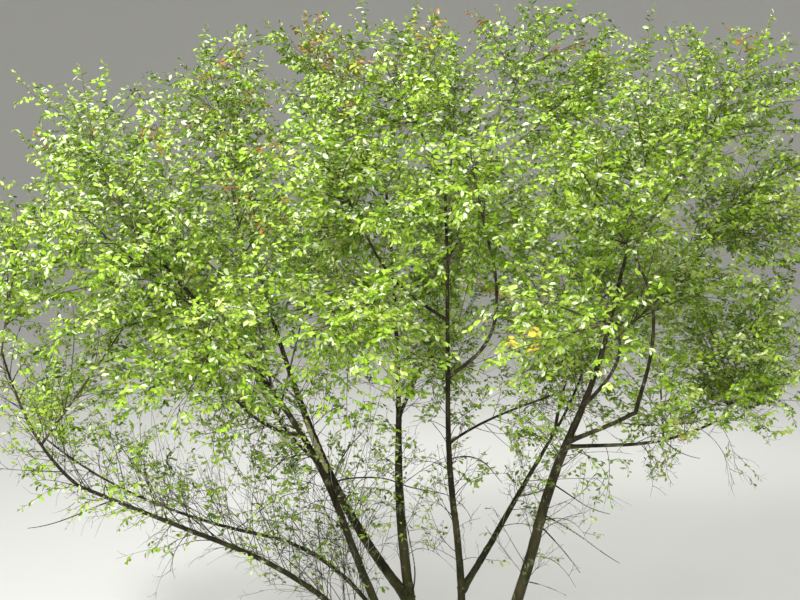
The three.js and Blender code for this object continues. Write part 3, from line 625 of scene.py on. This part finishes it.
# Name, limb, share along it, middle and half sizes.
MASSES = [
    ("far_left_top", "stem_left", 1, (-2280, -560, 4210), (560, 540, 520)),
    ("far_left_tip", "stem_low_rise", 1, (-2700, -600, 3640), (430, 520, 480)),
    ("left_front", "stem_left", 0.8, (-2030, -1200, 3600), (600, 600, 560)),
    ("left_out", "bough_left_out", 1, (-1480, -1480, 3100), (650, 600, 460)),
    ("left_top", "bough_left_back", 1, (-1660, 560, 4440), (580, 580, 540)),
    ("left_back", "bough_left_back", 0.7, (-2330, 760, 3830), (690, 650, 600)),
    ("left_middle", "bough_left_back", 0.5, (-1820, 130, 3180), (600, 560, 480)),
    ("left_rear", "bough_back_left", 1, (-1900, 1600, 2950), (690, 650, 540)),
    ("low_left", "stem_low_back", 1, (-3020, 950, 2380), (480, 540, 340)),
    ("left_inner", "stem_left", 0.66, (-1450, -330, 3800), (560, 560, 540)),
    ("tall_left", "stem_centre_left", 1, (-910, 640, 4540), (580, 600, 650)),
    ("centre_left", "bough_centre_left", 1, (-690, -1100, 3980), (600, 600, 540)),
    ("centre_rear", "stem_centre_left", 0.76, (-780, 1000, 3190), (630, 600, 540)),
    ("top_left", "bough_top_left", 1, (-380, -450, 4620), (500, 520, 480)),
    ("top_right", "bough_top_right", 1, (520, 200, 4850), (480, 520, 450)),
    ("centre_inner", "stem_centre", 0.83, (40, 250, 3770), (520, 560, 500)),
    ("centre_front", "bough_centre_right", 1, (130, -1250, 3920), (630, 600, 560)),
    ("low_front", "bough_centre_left", 0.6, (-740, -1450, 3190), (600, 600, 430)),
    ("back", "bough_back", 1, (-100, 1650, 3530), (710, 650, 650)),
    ("right_back", "bough_right_back", 1, (1175, 1145, 3640), (650, 650, 600)),
    ("right_top", "stem_right", 1, (1290, -250, 4370), (560, 600, 540)),
    ("right_front", "bough_right_up", 1, (820, -1050, 3970), (560, 580, 560)),
    ("front_right", "bough_front_right", 1, (570, -1700, 3300), (600, 600, 480)),
    ("right_out", "bough_right_low", 1, (2120, 200, 2800), (600, 650, 540)),
    ("right_low", "bough_right_low", 0.6, (1400, -450, 2670), (520, 560, 390)),
    ("right_inner", "bough_centre_low", 1, (930, 650, 2920), (560, 580, 510)),
    ("right_rear", "bough_back_right", 1, (1650, 1840, 2960), (650, 600, 560)),
    ("far_right", "stem_right", 0.82, (2060, 120, 3860), (590, 650, 590)),
    ("far_right_top", "stem_right", 0.9, (1960, 100, 4600), (520, 540, 480)),
    ("top_middle", "stem_centre", 0.88, (40, 350, 4590), (430, 490, 430)),
    ("top_back", "bough_top_right", 0.6, (940, 650, 4590), (500, 540, 480)),
    ("right_shoulder", "bough_right_back", 0.86, (1790, 1000, 4150), (560, 560, 540)),
    ("left_low", "stem_low_rise", 0.35, (-2260, -480, 2950), (480, 560, 420)),
    ("centre_low", "bough_back", 0.5, (40, 520, 2800), (520, 520, 430)),
    ("rear_left", "bough_back_left", 0.6, (-1000, 1750, 3450), (520, 520, 520)),
    ("rear_right", "bough_back_right", 0.7, (660, 1770, 3300), (520, 520, 520)),
    ("right_middle", "stem_right", 0.74, (1650, -100, 3400), (480, 500, 480)),
]
# Masses in front of the stems are thin enough to show them, and those at the right edge and at the top
# are fuller.
FULLNESS = {
    "far_right": 1.8, "far_right_top": 1.2, "right_shoulder": 1.2, "right_middle": 1.6, "right_out": 1.6,
    "top_middle": 1.6, "top_right": 1.25, "top_back": 1.3, "back": 1.1, "front_right": 0.75,
    "right_front": 0.85, "centre_front": 0.85, "left_out": 0.9, "right_low": 0.8}
# Limbs that show through the leaves in front of them, from share to share, and how wide the opening is
# as a share of the distance from the eye.
EYE = np.array([-350.0, -9430.0, 4350.0])
SEEN_LIMBS = [
    ("stem_right", 0.3, 0.9, 0.011), ("bough_right_out", 0.0, 1.0, 0.008),
    ("bough_right_up", 0.0, 0.8, 0.008), ("stem_centre", 0.4, 0.9, 0.009),
    ("bough_centre_right", 0.0, 0.6, 0.007), ("stem_left", 0.3, 0.6, 0.007),
    ("stem_centre_left", 0.3, 0.58, 0.005), ("bough_left_back", 0.3, 0.48, 0.005),
    ("bough_left_out", 0.0, 0.4, 0.006)]
SIGHT_POINTS = 30
OPENED_SHARE = 0.8

# The stem of a mass and its twigs. A mass of the usual size tries this many twigs, and skips those that
# would leave its space or touch wood.
USUAL_SIZE = 570
TRIES_PER_MASS = 113
TWIG_ANGLE = 50
TWIG_BOW = 0.12
TWIG_REACH = 0.96
OUTWARD_PULL = 0.3
STEM_STATIONS = 24
FIRST_STATION = 3
STEM_STEPS = 4
STEM_TIP_REACH = 0.8
STEM_LIFT = 0.3
STEM_BEND = 0.4
STEM_SHARE = 0.85
STEM_TIP_RADIUS = 3.2
THICKEST_STEM = 9
STEM_POINTS = 17
STEM_SIDES = 8
# Leafy shoots stand straight on the outer part of the stem too, from this one of its closer points.
OUTER_STEM = 12
TWIG_RADIUS = [3.4, 1.4]
USUAL_TWIG = 600
TWIG_THICKNESS = (0.6, 1.25)
TWIG_POINTS = 8
TWIG_SIDES = 4
TWIG_MARGIN = 8
WOOD_CLEARANCE = 16
SHORTEST_TWIG = 180
NEIGHBOUR_REACH = 300
OBSTACLE_REACH = 1.3
# Steps that spread the ends of a mass's twigs evenly: round its middle, up and down, and outward.
GOLDEN_STEPS = [0.8191725134, 0.6710436067, 0.5497004779]
# Two rounds of mixing, each a factor and a shift, turn whole numbers into even chances.
MIXING = [(2654435761, 15), (2246822519, 13)]
FIRST_KEY = 1013
WORD = 2 ** 32

# The leafy shoots along a twig, and the one that runs on from its tip. One that doesn't fit is tried
# again shorter.
FIRST_SHOOT = 55
LAST_SHOOT = 20
SHOOT_SPACING = 46
SHOOT_STRAY = 14
TIP_SHARE = 0.999
NEAR_TIP = 0.99
SHOOT_ANGLE = 52
ANGLE_STRAY = (0.8, 1.2)
TIP_ANGLE = 8
SHOOT_SPREAD = 110
SHOOT_LENGTH = 240
SHORTER_OUTWARD = 0.25
SHOOT_LENGTHS = (0.65, 1.15)
SHOOT_BENDS = (-0.2, 0.32, 0.09)
SHORTENED = (1.0, 0.62, 0.36)
SHOOT_RADIUS = [1.6, 0.8]
SHOOT_POINTS = 3
SHOOT_CHECKS = 4
# Below zero, as shoots may pass the plane shared with a neighbour a little.
SHOOT_MARGIN = -35
PALE_SHOOTS = 0.12
# Low in the crown, part of the shoots have died back bare.
BARE_HEIGHTS = [2300, 2900, 3500]
LEAFY_SHARES = [0.45, 0.8, 0.93]
# How far a mass may grow past its oval: alone, with its long leaders, and in a pocket between
# neighbours, where the ovals swell into one another.
SPACE_GROWTH = 1.16
LEADER_GROWTH = 1.55
POCKET_GROWTH = 1.7
SWELLING = 1.15
LEADER_LENGTHS = (200, 400)
LEADER_LIFT = (0.3, 1.1)
LEADER_BENDS = (-0.25, 0.15, 0.1)
LEADER_SHARE = 0.3

LEAF_LENGTH = 43
LEAF_WIDTH = 21
FIRST_LEAF = 20
LEAF_SPACING = 17
SPACING_STRAY = 0.2
LEAF_TURN = 58
TURN_STRAY = (0.75, 1.2)
TIP_LEAF_TURN = 12
LEAF_SAG = (-0.1, 0.75)
LEAF_SWAY = 0.32
# What a leaf's face turns to: the light above, the outside of the crown, and chance.
FACE_UP = 0.65
FACE_OUT = 0.8
FACE_STRAY = 0.75
# Leaves are largest half way along a shoot.
LEAST_LEAF = 0.78
MIDDLE_LEAF = 0.34
LEAF_SIZES = (0.76, 1.2)
LEAF_WIDTHS = (0.9, 1.12)
LEAF_FOLD = (0.12, 0.5)
LEAF_CURL = (0.02, 0.22)
# Corners of a leaf: along it, to its left and above it, as shares of length, half width and width.
LEAF_CORNERS = np.array([
    (0.0, 0.0, 0.0), (0.32, 0.68, 1.0), (0.32, -0.68, 1.0),
    (0.68, 1.0, 1.0), (0.68, -1.0, 1.0), (1.0, 0.0, 0.0)])
# Two faces on the left of the midrib, then two on its right.
LEAF_FACES = np.array([(0, 5, 3), (0, 3, 1), (0, 4, 5), (0, 2, 4)])

# Name, colour and roughness, and how many of the sprays take each of the first four.
# The pale leaf tint is painted highlight: a pale glint of reflected light on one or both halves of single
# leaves.
LEAF_TINTS = [
    ("fresh_leaf", (0.345, 0.50, 0.050), 0.42), ("middle_leaf", (0.26, 0.43, 0.022), 0.42),
    ("deep_leaf", (0.11, 0.215, 0.010), 0.40), ("lime_leaf", (0.44, 0.53, 0.13), 0.42),
    ("painted_highlight_leaf", (0.62, 0.71, 0.43), 0.36), ("yellow_leaf", (0.70, 0.52, 0.08), 0.5),
    ("russet_leaf", (0.42, 0.21, 0.05), 0.5),
]
TINT_SHARES = np.array([0.44, 0.32, 0.16, 0.08])
PAINTED_HIGHLIGHT, YELLOW, RUSSET = 4, 5, 6
CROWN_MIDDLE = np.array([-300.0, 0.0, 3000.0])
CROWN_REACH = 2500


def chance(*keys):
    """An even number from 0 to 1 that depends only on its keys."""
    mixed = SEED
    for key in keys:
        mixed ^= key + FIRST_KEY
        for factor, shift in MIXING:
            mixed = mixed * factor % WORD
            mixed ^= mixed >> shift
    return mixed / WORD


def bent(start, middle, end, steps):
    t = np.linspace(0, 1, steps + 1)[:, None]
    return start * (1 - t) ** 2 + middle * 2 * t * (1 - t) + end * t ** 2


def mass_stem(mass):
    """The stem of a mass leaves its limb, passes the middle and reaches toward the far side."""
    path = limbs[mass["on"]]["path"]
    forward = direction_along(path, mass["at"])
    start = point_along(path, mass["at"])
    at_tip = mass["at"] == 1
    away = mass["middle"] - start
    ahead = start + forward * np.linalg.norm(away)
    middle = mass["middle"] + (ahead - mass["middle"]) * STEM_BEND if at_tip else mass["middle"]
    tip = mass["middle"] + normal(normal(away) + UP * STEM_LIFT) * mass["half"] * STEM_TIP_REACH
    return bent(start, middle, tip, STEM_STEPS)


def inside_space(mass, points, keep, growth):
    """Which points lie in the mass's oval, swelled toward its neighbours, on its own side of them."""
    offset = points - mass["middle"]
    away = np.sum((offset / mass["half"]) ** 2, -1)
    fits = (away < POCKET_GROWTH ** 2) & inside_box(points)
    fullness = np.exp(-SWELLING * away)
    own = np.sum(offset ** 2, -1) - mass["size"] ** 2
    for rival in mass["rivals"]:
        gap = points - rival["middle"]
        fullness = fullness + np.exp(-SWELLING * np.sum((gap / rival["half"]) ** 2, -1))
        other = np.sum(gap ** 2, -1) - rival["size"] ** 2
        fits &= (other - own) / (2 * np.linalg.norm(rival["middle"] - mass["middle"])) > keep
    return fits & (fullness > math.exp(-SWELLING * growth ** 2))


def clear_of_wood(mass, points):
    """Which points keep off every limb and every other mass's stem."""
    a, along, radius = mass["wood"]
    offset = points[..., None, :] - a
    t = np.clip(np.sum(offset * along, -1) / np.sum(along * along, -1), 0, 1)
    gap = np.linalg.norm(offset - t[..., None] * along, axis=-1) - radius
    return np.all(gap > WOOD_CLEARANCE, axis=-1)


def before_limbs(points):
    """Which points stand in front of a limb that shows through the leaves."""
    sight = points - EYE
    flat = sight[:, None, ::2] / sight[:, None, 1:2]
    before = np.zeros(len(points), dtype=bool)
    for name, first, last, width in SEEN_LIMBS:
        limb = point_along(limbs[name]["path"], np.linspace(first, last, SIGHT_POINTS)) - EYE
        gap = np.linalg.norm(flat - limb[:, ::2] / limb[:, 1:2], axis=-1)
        before |= ((gap < width) & (sight[:, 1:2] < limb[:, 1])).any(1)
    return before


def twig_end(mass, k):
    spread = [(chance(mass["index"], way) + step * k) % 1 for way, step in enumerate(GOLDEN_STEPS)]
    turn, up = 2 * math.pi * spread[0], 1 - 2 * spread[1]
    flat = math.sqrt(1 - up * up)
    way = np.array([flat * math.cos(turn), flat * math.sin(turn), up])
    return mass["middle"] + way * mass["half"] * POCKET_GROWTH * TWIG_REACH * spread[2] ** OUTWARD_PULL


def twig_path(mass, end):
    """A twig leaves the stem where the line to its end makes the natural angle with the stem."""
    share = np.arange(FIRST_STATION, STEM_STATIONS) / STEM_STATIONS
    roots, forward = point_along(mass["path"], share), direction_along(mass["path"], share)
    angle = np.degrees(np.arccos(np.clip(np.sum(forward * normal(end - roots), -1), -1, 1)))
    best = np.argmin(np.abs(angle - TWIG_ANGLE))
    length = np.linalg.norm(end - roots[best])
    middle = (roots[best] + end) / 2 + forward[best] * length * TWIG_BOW
    return bent(roots[best], middle, end, TWIG_POINTS - 1), length


def grow_twigs(mass):
    twigs = []
    for k in range(mass["tries"]):
        path, length = twig_path(mass, twig_end(mass, k))
        checks = path[1:]
        fits = length > SHORTEST_TWIG and inside_space(mass, checks, TWIG_MARGIN, SPACE_GROWTH).all()
        if fits and clear_of_wood(mass, checks).all():
            twigs.append((path, length))
    return twigs


def grow_shoots(mass, twigs, dice):
    """Leafy shoots turn about along every twig, and one that runs on from its tip."""
    rows = []
    for number, (path, length) in enumerate(twigs):
        stations = np.arange(FIRST_SHOOT, length - LAST_SHOOT, SHOOT_SPACING)
        stations = stations + dice.uniform(-SHOOT_STRAY, SHOOT_STRAY, len(stations))
        share = np.append(stations / length, TIP_SHARE)
        count = len(share)
        forward = direction_along(path, share)
        level = normal(np.cross(forward, UP))
        angle = np.where(share > NEAR_TIP, TIP_ANGLE, SHOOT_ANGLE * dice.uniform(*ANGLE_STRAY, count))
        angle = np.radians(angle)[:, None]
        side = math.pi * ((np.arange(count) + number) % 2)
        turn = (side + np.radians(SHOOT_SPREAD * (dice.random(count) - 0.5)))[:, None]
        outward = level * np.cos(turn) + np.cross(forward, level) * np.sin(turn)
        way = normal(forward * np.cos(angle) + outward * np.sin(angle))
        reach = SHOOT_LENGTH * (1 - SHORTER_OUTWARD * share) * dice.uniform(*SHOOT_LENGTHS, count)
        bend = bends(count, *SHOOT_BENDS, dice)
        rows.append(np.column_stack([point_along(path, share), way, reach, bend]))
    rows = np.concatenate(rows)
    root, way, reach, bend = rows[:, :3], rows[:, 3:6], rows[:, 6], rows[:, 7:]
    kept = np.zeros(len(rows))
    for shorter in SHORTENED:
        outer = arched(root, way, reach * shorter, bend, SHOOT_CHECKS)[:, 1:]
        fits = shoots_fit(mass, outer, SPACE_GROWTH)
        kept = np.where((kept == 0) & fits, shorter, kept)
    own = kept > 0
    leaders = leader_shoots(mass, twigs, dice)
    grown = root[own], way[own], (reach * kept)[own], bend[own]
    return [np.concatenate(parts) for parts in zip(grown, leaders)]


def shoots_fit(mass, outer, growth):
    """Which shoots keep to the mass's space and off all wood."""
    inside = inside_space(mass, outer, SHOOT_MARGIN, growth).all(1)
    return inside & clear_of_wood(mass, outer).all(1)


def leader_shoots(mass, twigs, dice):
    """Long upright shoots that stand out of the crown from the tips of some twigs."""
    tips = np.array([path[-1] for path, _ in twigs])
    forward = np.array([direction_along(path, TIP_SHARE) for path, _ in twigs])
    way = normal(forward + dice.uniform(*LEADER_LIFT, len(tips))[:, None] * UP)
    reach = dice.uniform(*LEADER_LENGTHS, len(tips))
    bend = bends(len(tips), *LEADER_BENDS, dice)
    fits = shoots_fit(mass, arched(tips, way, reach, bend, SHOOT_CHECKS)[:, 1:], LEADER_GROWTH)
    own = fits & (dice.random(len(tips)) < LEADER_SHARE)
    return tips[own], way[own], reach[own], bend[own]


def grow_leaves(shoots, spacing, dice):
    """Leaves turn about along each shoot, with one at its tip, and the shoot that each belongs to."""
    root, way, reach, bend = shoots
    most = int(reach.max() / spacing) + 1
    stray = dice.uniform(-SPACING_STRAY, SPACING_STRAY, (len(root), most))
    station = FIRST_LEAF + spacing * (np.arange(most)[None, :] + stray)
    shoot, order = np.nonzero(station < reach[:, None])
    share = station[shoot, order] / reach[shoot]
    shoot = np.append(shoot, np.arange(len(root)))
    order = np.append(order, np.zeros(len(root), int))
    share = np.append(share, np.ones(len(root)))
    t = share[:, None]
    count = len(share)
    foot = arch(root[shoot], way[shoot], reach[shoot][:, None], bend[shoot], t)
    forward = normal(way[shoot] * (1 - 2 * ARCH_SHORTENING * t) + 2 * bend[shoot] * t)
    side = normal(np.cross(forward, UP)) * np.where(order % 2, 1, -1)[:, None]
    angle = np.where(share == 1, TIP_LEAF_TURN, LEAF_TURN * dice.uniform(*TURN_STRAY, count))
    angle = np.radians(angle)[:, None]
    sag = UP * dice.uniform(*LEAF_SAG, count)[:, None]
    sway = LEAF_SWAY * dice.normal(size=foot.shape)
    along = normal(forward * np.cos(angle) + side * np.sin(angle) - sag + sway)
    outward = (foot - CROWN_MIDDLE) / CROWN_REACH
    face = FACE_UP * UP + FACE_OUT * outward + FACE_STRAY * dice.normal(size=foot.shape)
    face = normal(face - np.sum(face * along, -1, keepdims=True) * along)
    left = np.cross(face, along)
    size = (LEAST_LEAF + MIDDLE_LEAF * np.sin(math.pi * share)) * dice.uniform(*LEAF_SIZES, count)
    length = (LEAF_LENGTH * size)[:, None]
    half = (LEAF_WIDTH / 2 * size * dice.uniform(*LEAF_WIDTHS, count))[:, None]
    fold = half * dice.uniform(*LEAF_FOLD, count)[:, None]
    curl = length * dice.uniform(*LEAF_CURL, count)[:, None]
    corners = [foot + along * length * u + left * half * v + face * (fold * w - curl * u ** 2)
               for u, v, w in LEAF_CORNERS]
    return np.stack(corners, 1), shoot


STRAY_SHARE = 0.18
GREEN_AGAIN_SHARE = 0.45
# Shares of leaves that carry a painted highlight, a pale glint, and how many more carry one toward the
# upper left.
PAINTED_HIGHLIGHT_SHARE = 0.2
PAINTED_HIGHLIGHT_LEFT_SHARE = 0.16
# More leaves carry painted highlights from here to the left and from here upward, where the crown is more
# open to the light, fully so after a reach.
LIGHT_LEFT, LIGHT_LEFT_REACH = 300, 1500
LIGHT_HEIGHT, LIGHT_HEIGHT_REACH = 3400, 800
# Where the leaves have begun to turn: across, height, reach and how many of the sprays there.
RUSSET_PLACES = [
    (-2760, 4480, 180, 0.35), (-1870, 4400, 140, 0.25), (-1540, 4800, 150, 0.25), (-1490, 4370, 140, 0.15),
    (-1340, 4670, 120, 0.25), (-1400, 4000, 110, 0.2), (-1220, 4310, 120, 0.3), (-1220, 3890, 100, 0.2),
    (-1000, 5050, 180, 0.4), (-830, 4930, 130, 0.35), (-750, 4650, 110, 0.25), (-620, 4815, 120, 0.3),
    (-350, 4815, 120, 0.25), (-145, 5080, 130, 0.35), (110, 5240, 130, 0.3), (850, 4950, 130, 0.3),
    (1100, 4850, 120, 0.25), (1870, 5080, 180, 0.25), (2110, 5040, 150, 0.2), (1850, 4130, 100, 0.2)]
YELLOW_PLACES = [
    (1580, 2190, 140, 0.4), (1900, 1950, 120, 0.4), (350, 3110, 110, 0.35), (-1600, 3400, 120, 0.25)]


def leaf_tints(tips, shoot, dice):
    """The tint of each face of each leaf. Each spray takes one green, or has turned where leaves have
    turned. Single leaves stray, and some carry a painted highlight, a pale glint, on one half or on both,
    most toward the upper left where the light falls."""
    spray = (dice.random(len(tips))[:, None] > np.cumsum(TINT_SHARES)).sum(1).clip(0, len(TINT_SHARES) - 1)
    for places, turned in ((RUSSET_PLACES, RUSSET), (YELLOW_PLACES, YELLOW)):
        for across, height, reach, part in places:
            near = np.hypot(tips[:, 0] - across, tips[:, 2] - height) < reach
            spray = np.where(near & (dice.random(len(tips)) < part), turned, spray)
    tint = spray[shoot]
    stray = dice.random(len(tint))
    tint = np.where((stray < STRAY_SHARE) & (tint < PAINTED_HIGHLIGHT), (tint + 1) % PAINTED_HIGHLIGHT, tint)
    tint = np.where((stray < GREEN_AGAIN_SHARE) & (tint > PAINTED_HIGHLIGHT), 0, tint)
    to_left = np.clip((-tips[:, 0] - LIGHT_LEFT) / LIGHT_LEFT_REACH, 0, 1)
    up_high = np.clip((tips[:, 2] - LIGHT_HEIGHT) / LIGHT_HEIGHT_REACH, 0, 1)
    painted_highlight_share = PAINTED_HIGHLIGHT_SHARE + PAINTED_HIGHLIGHT_LEFT_SHARE * (to_left * up_high)
    painted_glint = (dice.random(len(tint)) < painted_highlight_share[shoot]) & (tint < PAINTED_HIGHLIGHT)
    # The painted highlight lies on the left half, on the right half, or on both.
    shining = dice.integers(0, 3, len(tint))
    faces = np.repeat(tint[:, None], len(LEAF_FACES), 1)
    faces[painted_glint & (shining != 1), :2] = PAINTED_HIGHLIGHT
    faces[painted_glint & (shining != 0), 2:] = PAINTED_HIGHLIGHT
    return faces.ravel()


def make_leaves(name, corners, tints):
    faces = LEAF_FACES[None] + len(LEAF_CORNERS) * np.arange(len(corners))[:, None, None]
    leaves = make_piece(name, corners.reshape(-1, 3), faces.reshape(-1, 3), LEAVES, tints)
    return leaves


def surround(mass):
    """Gives a mass its near neighbours, and the wood that it keeps off as short straight stretches."""
    others = [other for other in masses if other is not mass]
    mass["rivals"] = [other for other in others if np.linalg.norm(other["middle"] - mass["middle"])
                      < other["size"] + mass["size"] + NEIGHBOUR_REACH]
    starts, ways, radii = [], [], []
    for path, radius, owner in wood_lines:
        if owner != mass["index"]:
            starts.append(path[:-1])
            ways.append(np.diff(path, axis=0))
            radii.append(blend(radius, np.arange(len(path) - 1) / (len(path) - 1)))
    starts, ways, radii = np.concatenate(starts), np.concatenate(ways), np.concatenate(radii)
    reach = mass["size"] * OBSTACLE_REACH + np.linalg.norm(ways, axis=-1)
    near = np.linalg.norm(starts - mass["middle"], axis=-1) < reach
    mass["wood"] = starts[near], ways[near], radii[near]


def make_mass_wood(mass, stem, twigs, shoots, dice):
    """The stem, twigs and shoots of a mass as one piece, the shoots in lighter bark."""
    foot = min(blend(limbs[mass["on"]]["radius"], mass["at"]) * STEM_SHARE, THICKEST_STEM)
    paths = np.array([path for path, _ in twigs])
    thick = np.clip([length / USUAL_TWIG for _, length in twigs], *TWIG_THICKNESS)
    parts = [tubes(stem[None], tapered((foot, STEM_TIP_RADIUS), 1, len(stem)), STEM_SIDES),
             tubes(paths, tapered(TWIG_RADIUS, len(paths), TWIG_POINTS, thick), TWIG_SIDES)]
    twig_faces = sum(len(faces) for _, faces in parts)
    radii = tapered(SHOOT_RADIUS, len(shoots[0]), SHOOT_POINTS)
    parts.append(tubes(arched(*shoots, SHOOT_POINTS), radii, FINE_SIDES))
    points, faces = joined(parts)
    kind = np.where(np.arange(len(faces)) >= twig_faces, 1, 0)
    kind = np.where(some_of(faces, PALE_SHOOTS, dice), 2, kind)
    wood = make_piece("leaves_" + mass["name"] + "_twig", points, faces,
                      [TWIG_BARK, SHOOT_BARK, PALE_WOOD], kind)
    return wood


TWIG_BARK = plain_finish("twig_bark", (0.09, 0.075, 0.05), 0.7)
SHOOT_BARK = plain_finish("shoot_bark", (0.20, 0.185, 0.09), 0.65)
LEAVES = [plain_finish(*tint) for tint in LEAF_TINTS]

masses = []
for index, (name, on, at, centre, half) in enumerate(MASSES):
    mass = {"name": name, "on": on, "at": at, "index": index,
            "middle": np.array(centre, dtype=float), "half": np.array(half, dtype=float)}
    mass["size"] = mass["half"].mean()
    mass["tries"] = round(TRIES_PER_MASS * (mass["size"] / USUAL_SIZE) ** 3 * FULLNESS.get(name, 1))
    mass["path"] = mass_stem(mass)
    masses.append(mass)
wood_lines = [(limb["path"], limb["radius"], None) for limb in limbs.values()]
wood_lines += [(mass["path"], [THICKEST_STEM, STEM_TIP_RADIUS], mass["index"]) for mass in masses]
for mass in masses:
    surround(mass)
    dice = np.random.default_rng([SEED, 4, mass["index"]])
    twigs = grow_twigs(mass)
    stem = smoothed(mass["path"], STEM_POINTS)
    outer_stem = smoothed(mass["path"], 2 * STEM_POINTS - 1)[OUTER_STEM:]
    outer_length = np.linalg.norm(np.diff(outer_stem, axis=0), axis=-1).sum()
    shoots = grow_shoots(mass, twigs + [(outer_stem, outer_length)], dice)
    tips = shoots[0] + shoots[1] * shoots[2][:, None]
    opened = dice.random(len(tips)) < OPENED_SHARE
    standing = ~(opened & (before_limbs(tips) | before_limbs(shoots[0])))
    shoots, tips = [part[standing] for part in shoots], tips[standing]
    leafy = dice.random(len(tips)) < np.interp(tips[:, 2], BARE_HEIGHTS, LEAFY_SHARES)
    corners, shoot = grow_leaves([part[leafy] for part in shoots], LEAF_SPACING, dice)
    leaves = make_leaves("leaves_" + mass["name"] + "_leaf", corners, leaf_tints(tips[leafy], shoot, dice))
    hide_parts("leaves_" + mass["name"])
    wood = make_mass_wood(mass, stem, twigs, shoots, dice)
    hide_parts("leaves_" + mass["name"])

# Part of the low side shoots still carry leaves, set wider apart than in the crown. They are fewer the
# nearer the ground, where the shade has killed most shoots, and few stand before the limbs.
SPARSE_SPACING = 30
LOW_HEIGHTS = [1100, 1700, 2400, 3000]
LOW_ALIVE = [0.08, 0.22, 0.56, 0.8]
SHORTEST_ALIVE = 60
dice = np.random.default_rng([SEED, 5])
root, way, reach, bend = (np.concatenate(parts) for parts in zip(*low_shoots))
alive = dice.random(len(root)) < np.interp(root[:, 2], LOW_HEIGHTS, LOW_ALIVE)
alive &= reach > SHORTEST_ALIVE
alive &= ~(before_limbs(root) & (dice.random(len(root)) < OPENED_SHARE))
corners, shoot = grow_leaves((root[alive], way[alive], reach[alive], bend[alive]), SPARSE_SPACING, dice)
make_leaves("low_sparse_leaf", corners, leaf_tints(root[alive], shoot, dice))

# A plain pale floor at ground level that sweeps up all round into a plain wall, well outside every view,
# in matt paint. It is one turned sheet, in metres.
FLOOR_RINGS = [0.01, 8, 20]
FLOOR_REACH = 34
SWEEP = 16
SWEEP_RINGS = 14
WALL_TOP = 26
FLOOR_ROUND = 96


def make_floor():
    bend = np.linspace(0, math.pi / 2, SWEEP_RINGS)
    reach = np.concatenate([FLOOR_RINGS, FLOOR_REACH + SWEEP * np.sin(bend), [FLOOR_REACH + SWEEP]])
    height = np.concatenate([np.zeros(len(FLOOR_RINGS)), SWEEP * (1 - np.cos(bend)), [WALL_TOP]])
    turn = 2 * math.pi * np.arange(FLOOR_ROUND) / FLOOR_ROUND
    rings = np.stack([reach[:, None] * np.cos(turn), reach[:, None] * np.sin(turn),
                      np.repeat(height[:, None], FLOOR_ROUND, 1)], -1)
    mesh = bpy.data.meshes.new("floor")
    faces = ring_faces(len(rings), FLOOR_ROUND)[:2 * (len(rings) - 1) * FLOOR_ROUND]
    mesh.from_pydata(rings.reshape(-1, 3).tolist(), [], faces[:, ::-1].tolist())
    mesh.polygons.foreach_set("use_smooth", np.ones(len(mesh.polygons), dtype=bool))
    mesh.materials.append(plain_finish("floor_paint", (0.64, 0.64, 0.62), 0.95))
    return add_to_scene("floor", mesh)


floor = make_floor()

# The light: a large soft key lamp high at the front left, a weak wide fill at the right, a wide lamp
# behind the crown, and an even pale sky. Name, place in metres, watts and width.
LAMPS = [
    ("key", (-5.5, -9.0, 12.0), 2900, 3.6), ("fill", (8.0, -9.0, 8.0), 430, 7.0),
    ("back", (2.0, 10.0, 11.0), 1000, 7.0)]
LAMP_AIM = np.array([-0.3, 0.0, 3.2])
for name, place, power, size in LAMPS:
    lamp = bpy.data.lights.new(name, "AREA")
    lamp.energy = power
    lamp.size = size
    holder = add_to_scene(name, lamp)
    holder.location = place
    holder.visible_camera = False
    down = LAMP_AIM - np.array(place)
    tilt = math.acos(down[2] / -np.linalg.norm(down))
    holder.rotation_euler = (tilt, 0, math.atan2(down[1], down[0]) - math.pi / 2)
world = bpy.data.worlds.new("studio")
world.use_nodes = True
world.node_tree.nodes["Background"].inputs["Color"].default_value = (1.0, 0.99, 0.95, 1)
world.node_tree.nodes["Background"].inputs["Strength"].default_value = 0.5
bpy.context.scene.world = world
bpy.context.scene.view_settings.view_transform = "Standard"

# The camera stands where the photograph was taken from, a little above the middle of the crown, and looks
# down by seven degrees.
CAMERA_TILT = 83
view = bpy.data.cameras.new("view")
view.sensor_width = 36
view.lens = 61.07
view.clip_end = 500
camera = add_to_scene("view", view)
camera.location = EYE * MM
camera.rotation_euler = (math.radians(CAMERA_TILT), 0, 0)
bpy.context.scene.camera = camera
